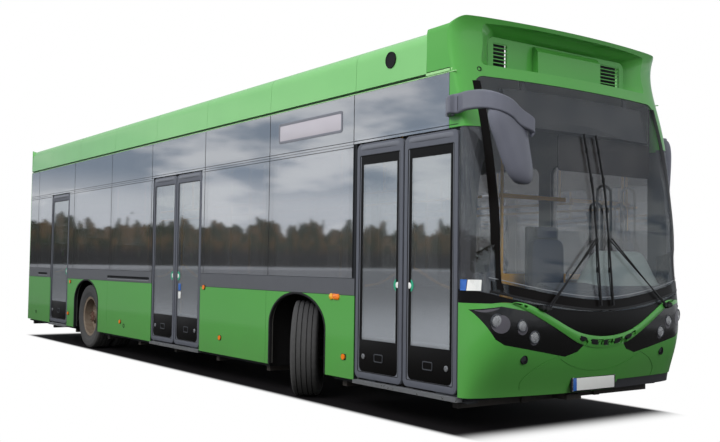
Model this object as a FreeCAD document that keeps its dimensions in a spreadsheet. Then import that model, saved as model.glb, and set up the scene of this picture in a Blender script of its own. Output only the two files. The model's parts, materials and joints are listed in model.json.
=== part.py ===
"""City bus, 12 m, low floor, with three doorways on its right side.

Frame: +X to the front, +Y to the left side, +Z up, the origin on the road under the middle
of the whole object. Lengths are millimetres, angles degrees.
"""
import FreeCAD
import Part
import Sketcher
import math
import os
from FreeCAD import Placement, Rotation, Vector

doc = FreeCAD.newDocument("CityBus")
sheet = doc.addObject("Spreadsheet::Sheet", "Sizes")

DRIVING = {
    # Whole body
    "body_length": 12000, "body_width": 2550, "mirror_reach": 230,
    "skirt_bottom": 285, "waist": 1040, "glass_bottom": 1195, "glass_top": 2385,
    "gutter": 2870, "fairing_base": 2900, "fairing_top": 3270, "lip_top": 3330,
    "skin": 8, "frame_depth": 60, "joint_gap": 4, "rear_corner_radius": 150,
    "floor_top": 290, "floor_thickness": 40, "rail_height": 60, "rail_width": 70,
    "rail_spacing": 900, "roof_thickness": 40, "tow_eye_radius": 20.5, "tow_eye_depth": 40,
    # Axles and wheels
    "rear_overhang": 3125, "wheelbase": 6095, "tyre_radius": 479, "tyre_width": 276,
    "rim_radius": 286, "rim_width": 215, "wheel_centre": 1090, "king_pin": 900,
    "twin_spacing": 312, "steer_angle": 38, "king_pin_radius": 22, "fit": 0.3,
    "arch_half_length": 535, "arch_spring": 700, "arch_top": 1042,
    "housing_half_length": 610, "housing_inner": 530, "housing_top": 1085,
    "housing_wall": 20, "tie_arm": 180, "beam_bottom": 150, "beam_height": 85,
    # Doorways, measured from the rear end, and the leaves in them
    "rear_door_start": 1356, "rear_door_width": 898, "middle_door_start": 5616,
    "middle_door_width": 1442, "front_door_start": 10219, "front_door_width": 1405,
    "door_top": 2412, "door_bottom": 312, "portal_gap": 14, "meeting_gap": 18,
    "leaf_thickness": 36, "leaf_inset": 7, "leaf_rim": 62, "post_set_back": 40,
    "pivot_inset": 12, "post_inboard": 78, "post_radius": 18,
    "arm_height": 22, "foot_height": 12, "arm_gap": 4, "arm_width": 34, "pin_radius": 7,
    "header_bottom": 2470,
    # Side windows
    "pillar_width": 160, "window_corner": 90,
    # Front end: height of each station and how far it lies behind the front
    "foot_setback": 160, "chin_height": 400, "chin_setback": 112, "bumper_height": 660,
    "bumper_setback": 8, "belt_height": 1080, "eye_height": 1600, "eye_setback": 36,
    "shade_height": 2050, "shade_setback": 94, "brow_height": 2480, "brow_setback": 186,
    "crown_height": 2950, "crown_setback": 318, "lip_setback": 300,
    "bow_radius": 7140, "corner_depth": 280, "side_end": 358, "side_end_crown": 500,
    # Mirrors
    "mirror_half_span": 1440, "mirror_bottom": 1945, "mirror_top": 2550,
    "head_depth": 90, "head_breadth": 170, "arm_root": 715,
    # Scoop over the windscreen
    "mouth_half_width": 1070, "mouth_foot": 2945, "mouth_top": 3285, "throat_half_width": 840,
    # Cab and saloon
    "seat_pitch": 760, "seat_width": 440, "seat_height": 440, "rail_radius": 16,
    "bench_top": 1010, "step_top": 600, "bulkhead_top": 1400, "deck_sheet": 20,
}


class Length:
    """A length of the sheet, or one worked out from them, with the formula that gives it."""

    def __init__(self, value, formula):
        self.value = value
        self.formula = formula

    def __float__(self):
        return float(self.value)

    def joined(self, other, sign, value):
        return Length(value, f"({self.formula} {sign} {formula_of(other)})")

    def __add__(self, other):
        return self.joined(other, "+", self.value + float(other))

    def __sub__(self, other):
        return self.joined(other, "-", self.value - float(other))

    def __mul__(self, other):
        return self.joined(other, "*", self.value * float(other))

    def __truediv__(self, other):
        return self.joined(other, "/", self.value / float(other))

    def __radd__(self, other):
        return as_length(other) + self

    def __rsub__(self, other):
        return as_length(other) - self

    def __rmul__(self, other):
        return as_length(other) * self

    def __neg__(self):
        return as_length(0) - self


def formula_of(number):
    return number.formula if isinstance(number, Length) else repr(float(number))


def as_length(number):
    return number if isinstance(number, Length) else Length(float(number), repr(float(number)))


class Sizes:
    """The driving dimensions, each a Length bound to its cell."""

    def __init__(self, table):
        for row, (alias, number) in enumerate(table.items(), start=1):
            sheet.set(f"A{row}", alias)
            sheet.set(f"B{row}", str(number))
            sheet.setAlias(f"B{row}", alias)
            setattr(self, alias, Length(float(number), f"Sizes.{alias}"))


S = Sizes(DRIVING)
doc.recompute()

REAR = -(S.body_length + S.mirror_reach) / 2
FRONT = REAR + S.body_length
SIDE = S.body_width / 2
FRAME_OUT = SIDE - S.skin
FRAME_IN = SIDE - S.frame_depth
AXLE_REAR = REAR + S.rear_overhang
AXLE_FRONT = AXLE_REAR + S.wheelbase
FLOOR_BOTTOM = S.floor_top - S.floor_thickness
RAIL_BOTTOM = FLOOR_BOTTOM - S.rail_height
SIDE_END = FRONT - S.side_end
NOSE_BACK = REAR + S.front_door_start + S.front_door_width
LEFT, RIGHT = 1, -1

nodes = {}


# Building blocks

def vector(x, y, z):
    return Vector(float(x), float(y), float(z))


def bind(obj, name, number):
    obj.setExpression(name, as_length(number).formula)


def place(obj, x, y, z, rotation=None, angle=None):
    """Put an object at a bound place; angle is a bound turn about +Z."""
    if angle is not None:
        rotation = Rotation(Vector(0, 0, 1), 10)
    obj.Placement = Placement(Vector(0, 0, 0), rotation or Rotation())
    for axis, number in zip("xyz", (x, y, z)):
        bind(obj, f"Placement.Base.{axis}", number)
    if angle is not None:
        bind(obj, "Placement.Rotation.Angle", angle)
    return obj


def block(x, y, z):
    """A box between two bounds on each axis."""
    box = doc.addObject("Part::Box", "Block")
    for name, (low, high) in zip(("Length", "Width", "Height"), (x, y, z)):
        bind(box, name, as_length(high) - low)
    return place(box, x[0], y[0], z[0])


TURN_TO = {"x": Rotation(Vector(0, 1, 0), 90), "y": Rotation(Vector(1, 0, 0), -90), "z": Rotation()}


def rod(axis, start, length, radius):
    """A cylinder from its start point along +x, +y or +z."""
    bar = doc.addObject("Part::Cylinder", "Rod")
    bind(bar, "Radius", radius)
    bind(bar, "Height", length)
    return place(bar, *start, rotation=TURN_TO[axis])


def feature(shape, name="Form"):
    form = doc.addObject("Part::Feature", name)
    form.Shape = shape
    return form


def fuse(*parts):
    if len(parts) == 1:
        return parts[0]
    joined = doc.addObject("Part::MultiFuse", "Joined")
    joined.Shapes = list(parts)
    joined.Refine = True
    return joined


def cut(base, *tools):
    result = doc.addObject("Part::Cut", "Cut")
    result.Base = base
    result.Tool = fuse(*tools)
    return result


def both_of(base, tool):
    """What two solids share."""
    shared = doc.addObject("Part::Common", "Shared")
    shared.Base = base
    shared.Tool = tool
    return shared


def group(*parts):
    """Separate solids of one node."""
    if len(parts) == 1:
        return parts[0]
    together = doc.addObject("Part::Compound", "Group")
    together.Links = list(parts)
    return together


def mirrored(obj):
    """The same piece on the other side of the bus."""
    twin = doc.addObject("Part::Mirroring", "Twin")
    twin.Source = obj
    twin.Normal = (0, 1, 0)
    return twin


def both_sides(obj):
    return group(obj, mirrored(obj))


def node(name, obj):
    obj.Label = name
    nodes[name] = obj
    return obj


def outline(points, plane, at=0):
    """Straight-sided face in the plane "xz", "yz" or "xy" at a place on the third axis."""
    lift = {"xz": lambda a, b: vector(a, at, b), "yz": lambda a, b: vector(at, a, b),
            "xy": lambda a, b: vector(a, b, at)}[plane]
    corners = [lift(a, b) for a, b in points]
    return Part.Face(Part.makePolygon(corners + corners[:1]))


def rounded(points, radius, plane, at=0):
    """The same face with its corners rounded."""
    lift = {"xz": lambda a, b: vector(a, at, b), "yz": lambda a, b: vector(at, a, b),
            "xy": lambda a, b: vector(a, b, at)}[plane]
    corners = [lift(a, b) for a, b in points]
    edges, first = [], None
    for index, corner in enumerate(corners):
        before = (corners[index - 1] - corner).normalize()
        after = (corners[(index + 1) % len(corners)] - corner).normalize()
        half_turn = before.getAngle(after) / 2
        reach = float(radius) / math.tan(half_turn)
        middle = corner + (before + after).normalize() * (
            float(radius) / math.sin(half_turn) - float(radius))
        start, end = corner + before * reach, corner + after * reach
        if edges:
            edges.append(Part.makeLine(last, start))
        else:
            first = start
        edges.append(Part.Arc(start, middle, end).toShape())
        last = end
    edges.append(Part.makeLine(last, first))
    return Part.Face(Part.Wire(edges))


def span(face, axis, low, high):
    """The face, drawn at 0, moved to low and drawn out to high along an axis."""
    unit = {"x": Vector(1, 0, 0), "y": Vector(0, 1, 0), "z": Vector(0, 0, 1)}[axis]
    moved = face.copy()
    moved.translate(unit * float(low))
    return moved.extrude(unit * (float(high) - float(low)))


def rectangle(a, b):
    return [(a[0], b[0]), (a[1], b[0]), (a[1], b[1]), (a[0], b[1])]


# The outer form of the body

STATIONS = (
    (S.skirt_bottom - 20, S.foot_setback, S.side_end),
    (S.chin_height, S.chin_setback, S.side_end),
    (S.bumper_height, S.bumper_setback, S.side_end),
    (S.belt_height, 0, S.side_end),
    (S.eye_height, S.eye_setback, S.side_end),
    (S.shade_height, S.shade_setback, S.side_end),
    (S.brow_height, S.brow_setback, S.side_end + 20),
    (S.crown_height, S.crown_setback, S.side_end_crown),
    (S.lip_top, S.lip_setback, S.side_end_crown),
)
CURVE_HANDLE = 0.55


def plan_section(height, setback, side_end, inset):
    """Outline of the body at one height, drawn in by inset all round."""
    height, inset = float(height), float(inset)
    half = float(SIDE) - inset
    nose = float(FRONT) - float(setback) - inset
    bow = float(S.bow_radius) - inset
    shoulder = float(SIDE) - float(S.corner_depth)
    turn = math.asin(shoulder / float(S.bow_radius))
    bow_end = (nose - bow * (1 - math.cos(turn)), bow * math.sin(turn))
    side_end_x = float(FRONT) - float(side_end)
    reach_x = (bow_end[0] - side_end_x) * CURVE_HANDLE
    reach_y = (half - bow_end[1]) * CURVE_HANDLE
    corner = float(S.rear_corner_radius) - inset
    tail = float(REAR) + inset
    diagonal = corner * (1 - math.sqrt(0.5))

    def point(x, y):
        return Vector(x, y, height)

    edges = [Part.Arc(point(bow_end[0], -bow_end[1]), point(nose, 0), point(*bow_end)).toShape()]
    for side in (LEFT, RIGHT):
        slope = Vector(-math.sin(turn), math.cos(turn), 0) * reach_y
        poles = [point(bow_end[0], side * bow_end[1]),
                 point(bow_end[0] + slope.x, side * (bow_end[1] + slope.y)),
                 point(side_end_x + reach_x, side * half), point(side_end_x, side * half)]
        bend = Part.BezierCurve()
        bend.setPoles(poles if side == LEFT else poles[::-1])
        flank = [point(side_end_x, side * half), point(tail + corner, side * half)]
        rear_bend = [point(tail + corner, side * half),
                     point(tail + diagonal, side * (half - diagonal)),
                     point(tail, side * (half - corner))]
        if side == LEFT:
            edges += [bend.toShape(), Part.makeLine(*flank), Part.Arc(*rear_bend).toShape(),
                      Part.makeLine(point(tail, half - corner), point(tail, corner - half))]
        else:
            edges += [Part.Arc(*rear_bend[::-1]).toShape(), Part.makeLine(*flank[::-1]),
                      bend.toShape()]
    return Part.Wire(edges)


def hull(inset):
    """The whole outer form, drawn in by inset."""
    return Part.makeLoft([plan_section(*station, inset) for station in STATIONS], True, False)


HULLS = {}


def layer(outer, inner):
    """The skin of the body between two insets."""
    for inset in (float(outer), float(inner)):
        if inset not in HULLS:
            HULLS[inset] = hull(inset)
    return HULLS[float(outer)].cut(HULLS[float(inner)])


def front_piece(outer, inner, face, holes=(), back=None):
    """A piece of the front skin: the layer inside a yz outline, less its holes."""
    back = FRONT - S.side_end_crown if back is None else back
    piece = layer(outer, inner).common(span(face, "x", back, FRONT + 50))
    for hole in holes:
        piece = piece.cut(span(hole, "x", back - 50, FRONT + 60))
    return piece


# Side view outlines shared by frames, skins and panes

def arch_face(axle, margin=0):
    """Wheel arch opening in side view: straight legs under half an ellipse."""
    half = float(S.arch_half_length + margin)
    rise = float(S.arch_top + margin - S.arch_spring)
    spring, low = float(S.arch_spring), float(S.skirt_bottom) - 200
    middle = float(axle)
    ellipse = Part.Ellipse(Vector(middle, 0, spring), max(half, rise), min(half, rise))
    ellipse.Axis = Vector(0, -1, 0)
    top = ellipse.toShape(0, math.pi)
    if top.CenterOfMass.z < spring:
        top = ellipse.toShape(math.pi, 2 * math.pi)
    left, right = Vector(middle - half, 0, spring), Vector(middle + half, 0, spring)
    legs = Part.makePolygon([left, Vector(left.x, 0, low), Vector(right.x, 0, low), right])
    return Part.Face(Part.Wire([top] + legs.Edges))


DOORWAYS = {
    "rear": (REAR + S.rear_door_start, S.rear_door_width),
    "middle": (REAR + S.middle_door_start, S.middle_door_width),
    "front": (REAR + S.front_door_start, S.front_door_width),
}
PANEL_JOINTS = [REAR + place_ for place_ in (600, 2480, 4100, 5560, 7130, 8650, 10180)]
SALOON_REAR = REAR + S.rear_corner_radius
HALF_PILLAR = S.pillar_width / 2


def windows(side):
    """Start and end of each clear side window."""
    joints = PANEL_JOINTS
    if side == LEFT:
        stops = joints[:1] + [REAR + 2240] + joints[2:]
        found = list(zip(stops[:-1], stops[1:]))
        found.append((joints[-1], FRONT - S.side_end - 20))
    else:
        found = [(joints[0], REAR + S.rear_door_start), (joints[1], joints[2]),
                 (joints[2], joints[3]), (joints[4], joints[5]), (joints[5], joints[6])]
    return [(start + HALF_PILLAR, end - HALF_PILLAR) for start, end in found]


def window_faces(side, margin=0):
    return [rounded(rectangle((start - margin, end + margin),
                              (S.glass_bottom - margin, S.glass_top + margin)),
                    S.window_corner + margin, "xz") for start, end in windows(side)]


# Underbody

def make_underframe():
    """Ladder frames ahead of, between and behind the axles."""
    half = S.rail_spacing / 2
    clear = S.housing_half_length + 40
    tail = (REAR + 80, AXLE_REAR - clear, 3)
    middle = (AXLE_REAR + clear, AXLE_FRONT - clear, 5)
    nose = (AXLE_FRONT + clear, FRONT - 460, 2)
    ladders = []
    for start, end, members in (tail, middle, nose):
        height = (RAIL_BOTTOM, FLOOR_BOTTOM)
        parts = [block((start, end), (side * half - S.rail_width / 2,
                                      side * half + S.rail_width / 2), height)
                 for side in (LEFT, RIGHT)]
        for number in range(members):
            x = start + 60 + (end - start - 120) * number / (members - 1)
            parts.append(block((x - 35, x + 35), (-(SIDE - 110), SIDE - 110), height))
        ladder = fuse(*parts, *[plate for plate, _ in tow_eyes(start, end)])
        eyes = [hole for _, hole in tow_eyes(start, end)]
        ladders.append(cut(ladder, *eyes) if eyes else ladder)
    node("underframe", group(*ladders))


def tow_eyes(start, end):
    """Plate and bore for a tow bar at an end of the bus; none between the axles."""
    if float(start) < float(AXLE_REAR) - 1000 and float(end) < float(AXLE_REAR):
        x = start - 30
    elif float(start) > float(AXLE_FRONT):
        x = end + 75
    else:
        return []
    depth = S.tow_eye_depth
    low = FLOOR_BOTTOM - 10 - depth
    reach = 140
    inward = (x - reach, x + 60) if float(start) > float(AXLE_FRONT) else (x - 45, x + reach)
    plate = block(inward, (-90, 90), (low, low + depth))
    return [(plate, rod("z", (x, 0, low - 5), depth + 10, S.tow_eye_radius))]


def make_floor():
    """Low floor with the housings that rise over the wheels."""
    inner = S.housing_inner
    plate = block((REAR + 62, FRONT - 420), (-FRAME_IN, FRAME_IN), (FLOOR_BOTTOM, S.floor_top))
    notches = [block((axle - S.housing_half_length, axle + S.housing_half_length),
                     (low, high), (FLOOR_BOTTOM - 10, S.floor_top + 10))
               for axle in (AXLE_REAR, AXLE_FRONT)
               for low, high in ((inner, SIDE), (-SIDE, -inner))]
    corners = feature(layer(0, S.frame_depth + S.fit))
    post_foot = block((FRONT - 425, NOSE_BACK + 60), (-FRAME_IN, 100 - FRAME_IN),
                      (FLOOR_BOTTOM, S.floor_top))
    node("floor", group(cut(fuse(plate, post_foot), *notches, corners),
                        cut(rear_deck(), corners)))
    shells = []
    for axle in (AXLE_REAR, AXLE_FRONT):
        wall = S.housing_wall
        half = S.housing_half_length
        shell = cut(block((axle - half, axle + half), (inner, FRAME_IN),
                          (FLOOR_BOTTOM, S.housing_top)),
                    block((axle - half + wall, axle + half - wall), (inner + wall, SIDE),
                          (FLOOR_BOTTOM - 10, S.housing_top - wall)))
        shells.append(both_sides(shell))
    node("wheel_housings", group(*shells))


def rear_deck():
    """Folded sheet over the power unit: a step, the base of the rear bench and a bulkhead."""
    sheet = float(S.deck_sheet)
    floor, step, bench = float(S.floor_top), float(S.step_top), float(S.bench_top)
    top = float(S.bulkhead_top)
    back, wall, edge, nose = (float(REAR) + reach for reach in (61, 230, 860, 1240))
    fold = [(nose, floor), (nose, step), (edge, step), (edge, bench), (wall, bench), (wall, top),
            (back, top), (back, top - sheet), (wall - sheet, top - sheet),
            (wall - sheet, bench - sheet), (edge - sheet, bench - sheet),
            (edge - sheet, step - sheet), (nose - sheet, step - sheet), (nose - sheet, floor)]
    return feature(span(outline(fold, "xz"), "y", -FRAME_IN, FRAME_IN))


def make_power_unit():
    """Plain block for the motor and its gear, under the bench and behind the rear lid."""
    node("power_unit", block((REAR + 90, REAR + 820), (-620, 620), (S.floor_top, 930)))


# Sides

def side_frame(side):
    """Inner frame of one side, cut for windows, doorways and wheel arches."""
    end = FRONT - S.side_end_crown
    wall = block((SALOON_REAR, end), (FRAME_IN, FRAME_OUT), (S.floor_top, S.gutter))
    if side == RIGHT:
        wall = mirrored(wall)
    holes = [feature(span(face, "y", -1400, 1400)) for face in window_faces(side)]
    if side == RIGHT:
        for start, width in DOORWAYS.values():
            holes.append(block((start, start + width), (-1400, 0),
                               (S.floor_top - 10, S.header_bottom)))
    for axle in (AXLE_REAR, AXLE_FRONT):
        holes.append(feature(span(arch_face(axle, 12), "y", -1400, 1400)))
    return cut(wall, *holes)


def side_skin(side, low, high, stops, extra=()):
    """Outer panels between two heights, one solid between each pair of stops."""
    y = (FRAME_OUT, SIDE) if side == LEFT else (-SIDE, -FRAME_OUT)
    half_gap = S.joint_gap / 2
    panels = []
    for start, end in stops:
        panel = block((start + half_gap, end - half_gap), y, (low, high))
        cutters = [face for face, centre in extra if float(start) < float(centre) < float(end)]
        if cutters:
            panel = cut(panel, *[feature(span(face, "y", -1400, 1400)) for face in cutters])
        panels.append(panel)
    return panels


def runs_between_doors(side, stops):
    """Panel runs from the rear corner to the front corner, broken at doorways and stops."""
    start, end = SALOON_REAR, NOSE_BACK
    marks = [start] + stops + [end]
    runs = list(zip(marks[:-1], marks[1:]))
    if side == LEFT:
        return runs
    kept = []
    for low, high in runs:
        pieces = [(low, high)]
        for door, width in DOORWAYS.values():
            split = []
            for a, b in pieces:
                door_end = door + width
                if float(door_end) <= float(a) or float(door) >= float(b):
                    split.append((a, b))
                    continue
                if float(a) < float(door):
                    split.append((a, door))
                if float(door_end) < float(b):
                    split.append((door_end, b))
            pieces = split
        kept += [(a, b) for a, b in pieces if float(b) - float(a) > 40]
    return kept


ARCHES = [(arch_face(axle), axle) for axle in (AXLE_REAR, AXLE_FRONT)]
SKIRT_JOINTS = [REAR + 4015, REAR + 8620]
WAIST_VENTS = [(rounded(rectangle((start, end), (1086, 1114)), 13, "xz"), (start + end) / 2)
               for start, end in ((REAR + 690, REAR + 1175), (REAR + 4020, REAR + 5520))]


def make_sides():
    node("wall_right", side_frame(RIGHT))
    node("wall_left", side_frame(LEFT))
    skirts = []
    belts = []
    for side in (LEFT, RIGHT):
        joints = SKIRT_JOINTS if side == RIGHT else SKIRT_JOINTS + [REAR + 10180]
        skirts += side_skin(side, S.skirt_bottom, S.waist - S.joint_gap,
                            runs_between_doors(side, joints), ARCHES)
        vents = WAIST_VENTS if side == RIGHT else []
        belts += side_skin(side, S.waist, S.glass_bottom - S.joint_gap,
                           runs_between_doors(side, []), vents)
    node("skirts", group(*skirts))
    node("waist_rails", group(*belts))


def make_saloon_glass():
    """Bonded panes that cover each side up to the gutter, and the rear window."""
    panes = []
    for side in (LEFT, RIGHT):
        panes += side_skin(side, S.glass_bottom, S.door_top, runs_between_doors(side, PANEL_JOINTS))
        stops = [SALOON_REAR] + PANEL_JOINTS + [FRONT - S.side_end_crown]
        panes += side_skin(side, S.door_top + S.joint_gap, S.gutter, zip(stops[:-1], stops[1:]))
    rear_face = rounded(rectangle((-1000, 1000), (S.glass_bottom + 250, S.glass_top + 60)), 90,
                        "yz")
    panes.append(feature(layer(0, S.skin).common(span(rear_face, "x", REAR - 10, REAR + 60))))
    node("saloon_glass", group(*panes))


# Roof

GUTTER_DEPTH, HEADER_DEPTH = 24, 30


def make_roof():
    slab = span(outline(rectangle((REAR - 10, FRONT + 10), (-1400, 1400)), "xy"),
                "z", S.gutter, S.gutter + S.roof_thickness)
    nose = span(outline(rectangle((FRONT - S.side_end_crown - 2, FRONT + 10), (-1400, 1400)),
                        "xy"), "z", S.gutter - 10, S.gutter + 100)
    cover = slab.common(hull(GUTTER_DEPTH)).cut(layer(0, HEADER_DEPTH).common(nose))
    node("roof", feature(cover))


FAIRING_JOINTS = [REAR + place_ for place_ in (1250, 2720, 4200, 5680, 7150, 8650, 10200, 11210)]


def fairing_section():
    """Closed profile of the left fairing: upright outside, rounded over at the top."""
    base, top = float(S.fairing_base), float(S.fairing_top)
    out, wall = float(SIDE), 22.0
    bend = 120.0
    outer = Part.Arc(Vector(0, out - 6, top - bend), Vector(0, out - 41, top - 35),
                     Vector(0, out - 6 - bend, top))
    inner = Part.Arc(Vector(0, out - 6 - bend, top - wall),
                     Vector(0, out - 41 - wall * 0.7, top - 35 - wall * 0.7),
                     Vector(0, out - 6 - wall, top - bend))
    edges = [Part.makeLine(Vector(0, out, base), outer.StartPoint), outer.toShape(),
             Part.makeLine(outer.EndPoint, inner.StartPoint), inner.toShape(),
             Part.makeLine(inner.EndPoint, Vector(0, out - wall, base)),
             Part.makeLine(Vector(0, out - wall, base), Vector(0, out, base))]
    return Part.Face(Part.Wire(edges))


def make_roof_fairings():
    marks = [REAR + S.rear_corner_radius] + FAIRING_JOINTS
    half_gap = S.joint_gap / 2
    runs = [feature(span(fairing_section(), "x", start + half_gap, end - half_gap))
            for start, end in zip(marks[:-1], marks[1:])]
    foot = [block((marks[0], marks[-1]), (SIDE - 90, SIDE - 22),
                  (S.gutter + S.roof_thickness, S.fairing_base + 40))]
    tail = layer(0, 22).common(span(outline(rectangle((-1400, 1400), (
        S.fairing_base, S.fairing_top)), "yz"), "x", REAR - 10, REAR + S.rear_corner_radius))
    foot.append(block((REAR + 22, REAR + 60), (0, 1000), (
        S.gutter + S.roof_thickness, S.fairing_base + 60)))
    node("roof_fairings", group(*[both_sides(run) for run in runs],
                                *[both_sides(strip) for strip in foot], feature(tail)))


SCOOP_BACK = FAIRING_JOINTS[-1]
SCOOP_WALL = 34


def throat(grow):
    """The scoop's mouth: wide at the front, drawn in to the bulkhead, grown by its wall."""
    flare = float(S.mouth_half_width) - float(S.throat_half_width)
    wires = []
    for setback, share, drop in ((535, 0.0, 70), (445, 0.4, 35), (385, 1.0, 0), (260, 1.7, -10)):
        half = float(S.throat_half_width) + flare * share + grow
        top = float(S.mouth_top) - drop + grow
        face = rounded(rectangle((-half, half), (S.mouth_foot - grow, top)), 75, "yz")
        face.translate(vector(FRONT - setback, 0, 0))
        wires.append(face.OuterWire)
    return Part.makeLoft(wires, True, False)


def make_roof_scoop():
    """Open scoop over the windscreen: cheeks, lipped cover, throat and the box in its mouth."""
    base = S.gutter + S.roof_thickness
    roof_line = [(SCOOP_BACK + 2, base), (SCOOP_BACK + 2, S.fairing_top),
                 (FRONT - 520, S.fairing_top + 4), (FRONT - 430, S.lip_top),
                 (FRONT + 20, S.lip_top), (FRONT + 20, base)]
    under_line = [(SCOOP_BACK - 5, base - 10), (SCOOP_BACK - 5, S.fairing_top - 32),
                  (FRONT - 500, S.fairing_top - 30), (FRONT - 390, S.lip_top - 46),
                  (FRONT + 40, S.lip_top - 40), (FRONT + 40, base - 10)]
    outer = span(outline(roof_line, "xz"), "y", -1400, 1400).common(HULLS[0.0])
    crown = span(rounded([(-SIDE, base - 300), (SIDE, base - 300), (SIDE, S.lip_top),
                          (-SIDE, S.lip_top)], 105, "yz"), "x", SCOOP_BACK - 10, FRONT + 20)
    room = span(rounded([(-SIDE + 36, base - 300), (SIDE - 36, base - 300),
                         (SIDE - 36, S.lip_top - 34), (-SIDE + 36, S.lip_top - 34)], 90,
                        "yz"), "x", SCOOP_BACK - 10, FRONT + 20)
    room = room.common(span(outline(under_line, "xz"), "y", -1400, 1400))
    room = room.common(hull(SCOOP_WALL)).cut(throat(SCOOP_WALL))
    cover = outer.common(crown).cut(room).cut(throat(0))
    back = FRONT - 520
    half = S.throat_half_width + 20
    bulkhead = block((back, back + 20), (-half, half), (base, S.mouth_top - 45))
    vents, slats = [], []
    for low, high in ((-800, -640), (540, 800)):
        z = (S.mouth_foot + 10, S.mouth_top - 105)
        vents.append(block((back - 5, back + 30), (low, high), z))
        slats += [block((back + 4, back + 16), (low - 5, high + 5), (z[0] + step, z[0] + step + 8))
                  for step in range(24, 220, 32)]
    box_line = [(back + 10, base), (back + 90, base), (back + 84, S.mouth_foot + 215),
                (back + 45, S.mouth_foot + 262), (back + 10, S.mouth_foot + 262)]
    box = feature(span(rounded(box_line, 12, "xz"), "y", -340, 460))
    node("roof_scoop", fuse(feature(cover), cut(bulkhead, *vents), box, *slats))


def make_roof_units():
    """Battery cases and the cooling unit that stand on the roof between the fairings."""
    base = S.gutter + S.roof_thickness
    height = S.fairing_top - base - 70
    cases = []
    for number in range(4):
        start = REAR + 600 + number * 1500
        case = block((start, start + 1380), (-850, 850), (base, base + height))
        ribs = [block((start + 100 + 260 * rib, start + 160 + 260 * rib), (-850, 850),
                      (base + height - 12, base + height + 6)) for rib in range(5)]
        cases.append(cut(case, *ribs))
    cooler = fuse(block((REAR + 7000, REAR + 9400), (-800, 800), (base, base + height - 30)),
                  *[rod("z", (REAR + 7500 + 700 * fan, side * 400, base + height - 40),
                        50, 210) for fan in range(3) for side in (LEFT, RIGHT)])
    node("roof_units", group(*cases, cooler))


# Front end

BROW = S.door_top + 6
SCREEN_TOP = 2845


def smile(height_shift):
    """Upper edge of the bumper: low in the middle, rising to level shoulders."""
    points = [(-1150, 1034), (-940, 1026), (-700, 929), (-434, 797), (-200, 740), (0, 726),
              (200, 740), (434, 797), (700, 929), (940, 1026), (1150, 1034)]
    curve = Part.BSplineCurve()
    curve.interpolate([vector(0, y, z + height_shift) for y, z in points])
    return curve.toShape()


def face_over_smile(top, shift, half=1300):
    """Area from the bumper's upper edge up to a level."""
    edge = smile(shift)
    start, end = edge.Vertexes[0].Point, edge.Vertexes[-1].Point
    rest = Part.makePolygon([end, vector(0, half, end.z), vector(0, half, top),
                             vector(0, -half, top), vector(0, -half, start.z), start])
    return Part.Face(Part.Wire([edge] + rest.Edges))


def face_under_smile(bottom, shift, half=1300):
    edge = smile(shift)
    start, end = edge.Vertexes[0].Point, edge.Vertexes[-1].Point
    rest = Part.makePolygon([end, vector(0, half, end.z), vector(0, half, bottom),
                             vector(0, -half, bottom), vector(0, -half, start.z), start])
    return Part.Face(Part.Wire([edge] + rest.Edges))


def split_line_face(top, shift):
    """Area from the windscreen's lower edge, a shallow arc, up to a level."""
    arc = Part.Arc(vector(0, -1300, 1150 + shift), vector(0, 0, 960 + shift),
                   vector(0, 1300, 1150 + shift)).toShape()
    rest = Part.makePolygon([vector(0, 1300, 1150 + shift), vector(0, 1300, top),
                             vector(0, -1300, top), vector(0, -1300, 1150 + shift)])
    return Part.Face(Part.Wire([arc] + rest.Edges))


def screen_face(margin=0):
    """The windscreen's outline: upright sides and a rounded top."""
    side, top = 1150 - margin, SCREEN_TOP - margin
    return rounded([(-side, 500), (side, 500), (side - 20, top), (-side + 20, top)], 110, "yz")


LAMP_OUTLINE = [(-1262, 985), (-1130, 760), (-1060, 716), (-428, 603), (-300, 640),
                (-243, 695), (-488, 814), (-788, 962), (-1083, 1012)]
LAMP_BACK = FRONT - 290
LAMP_BOWLS = ((-1116, 901, 42), (-906, 863, 36), (-782, 771, 38))


def lamp_face(side, margin=0):
    points = [(side * -1 * y, z) for y, z in LAMP_OUTLINE]
    face = outline(points if side == RIGHT else points[::-1], "yz")
    return face.makeOffset2D(float(margin), 2) if margin else face


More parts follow.
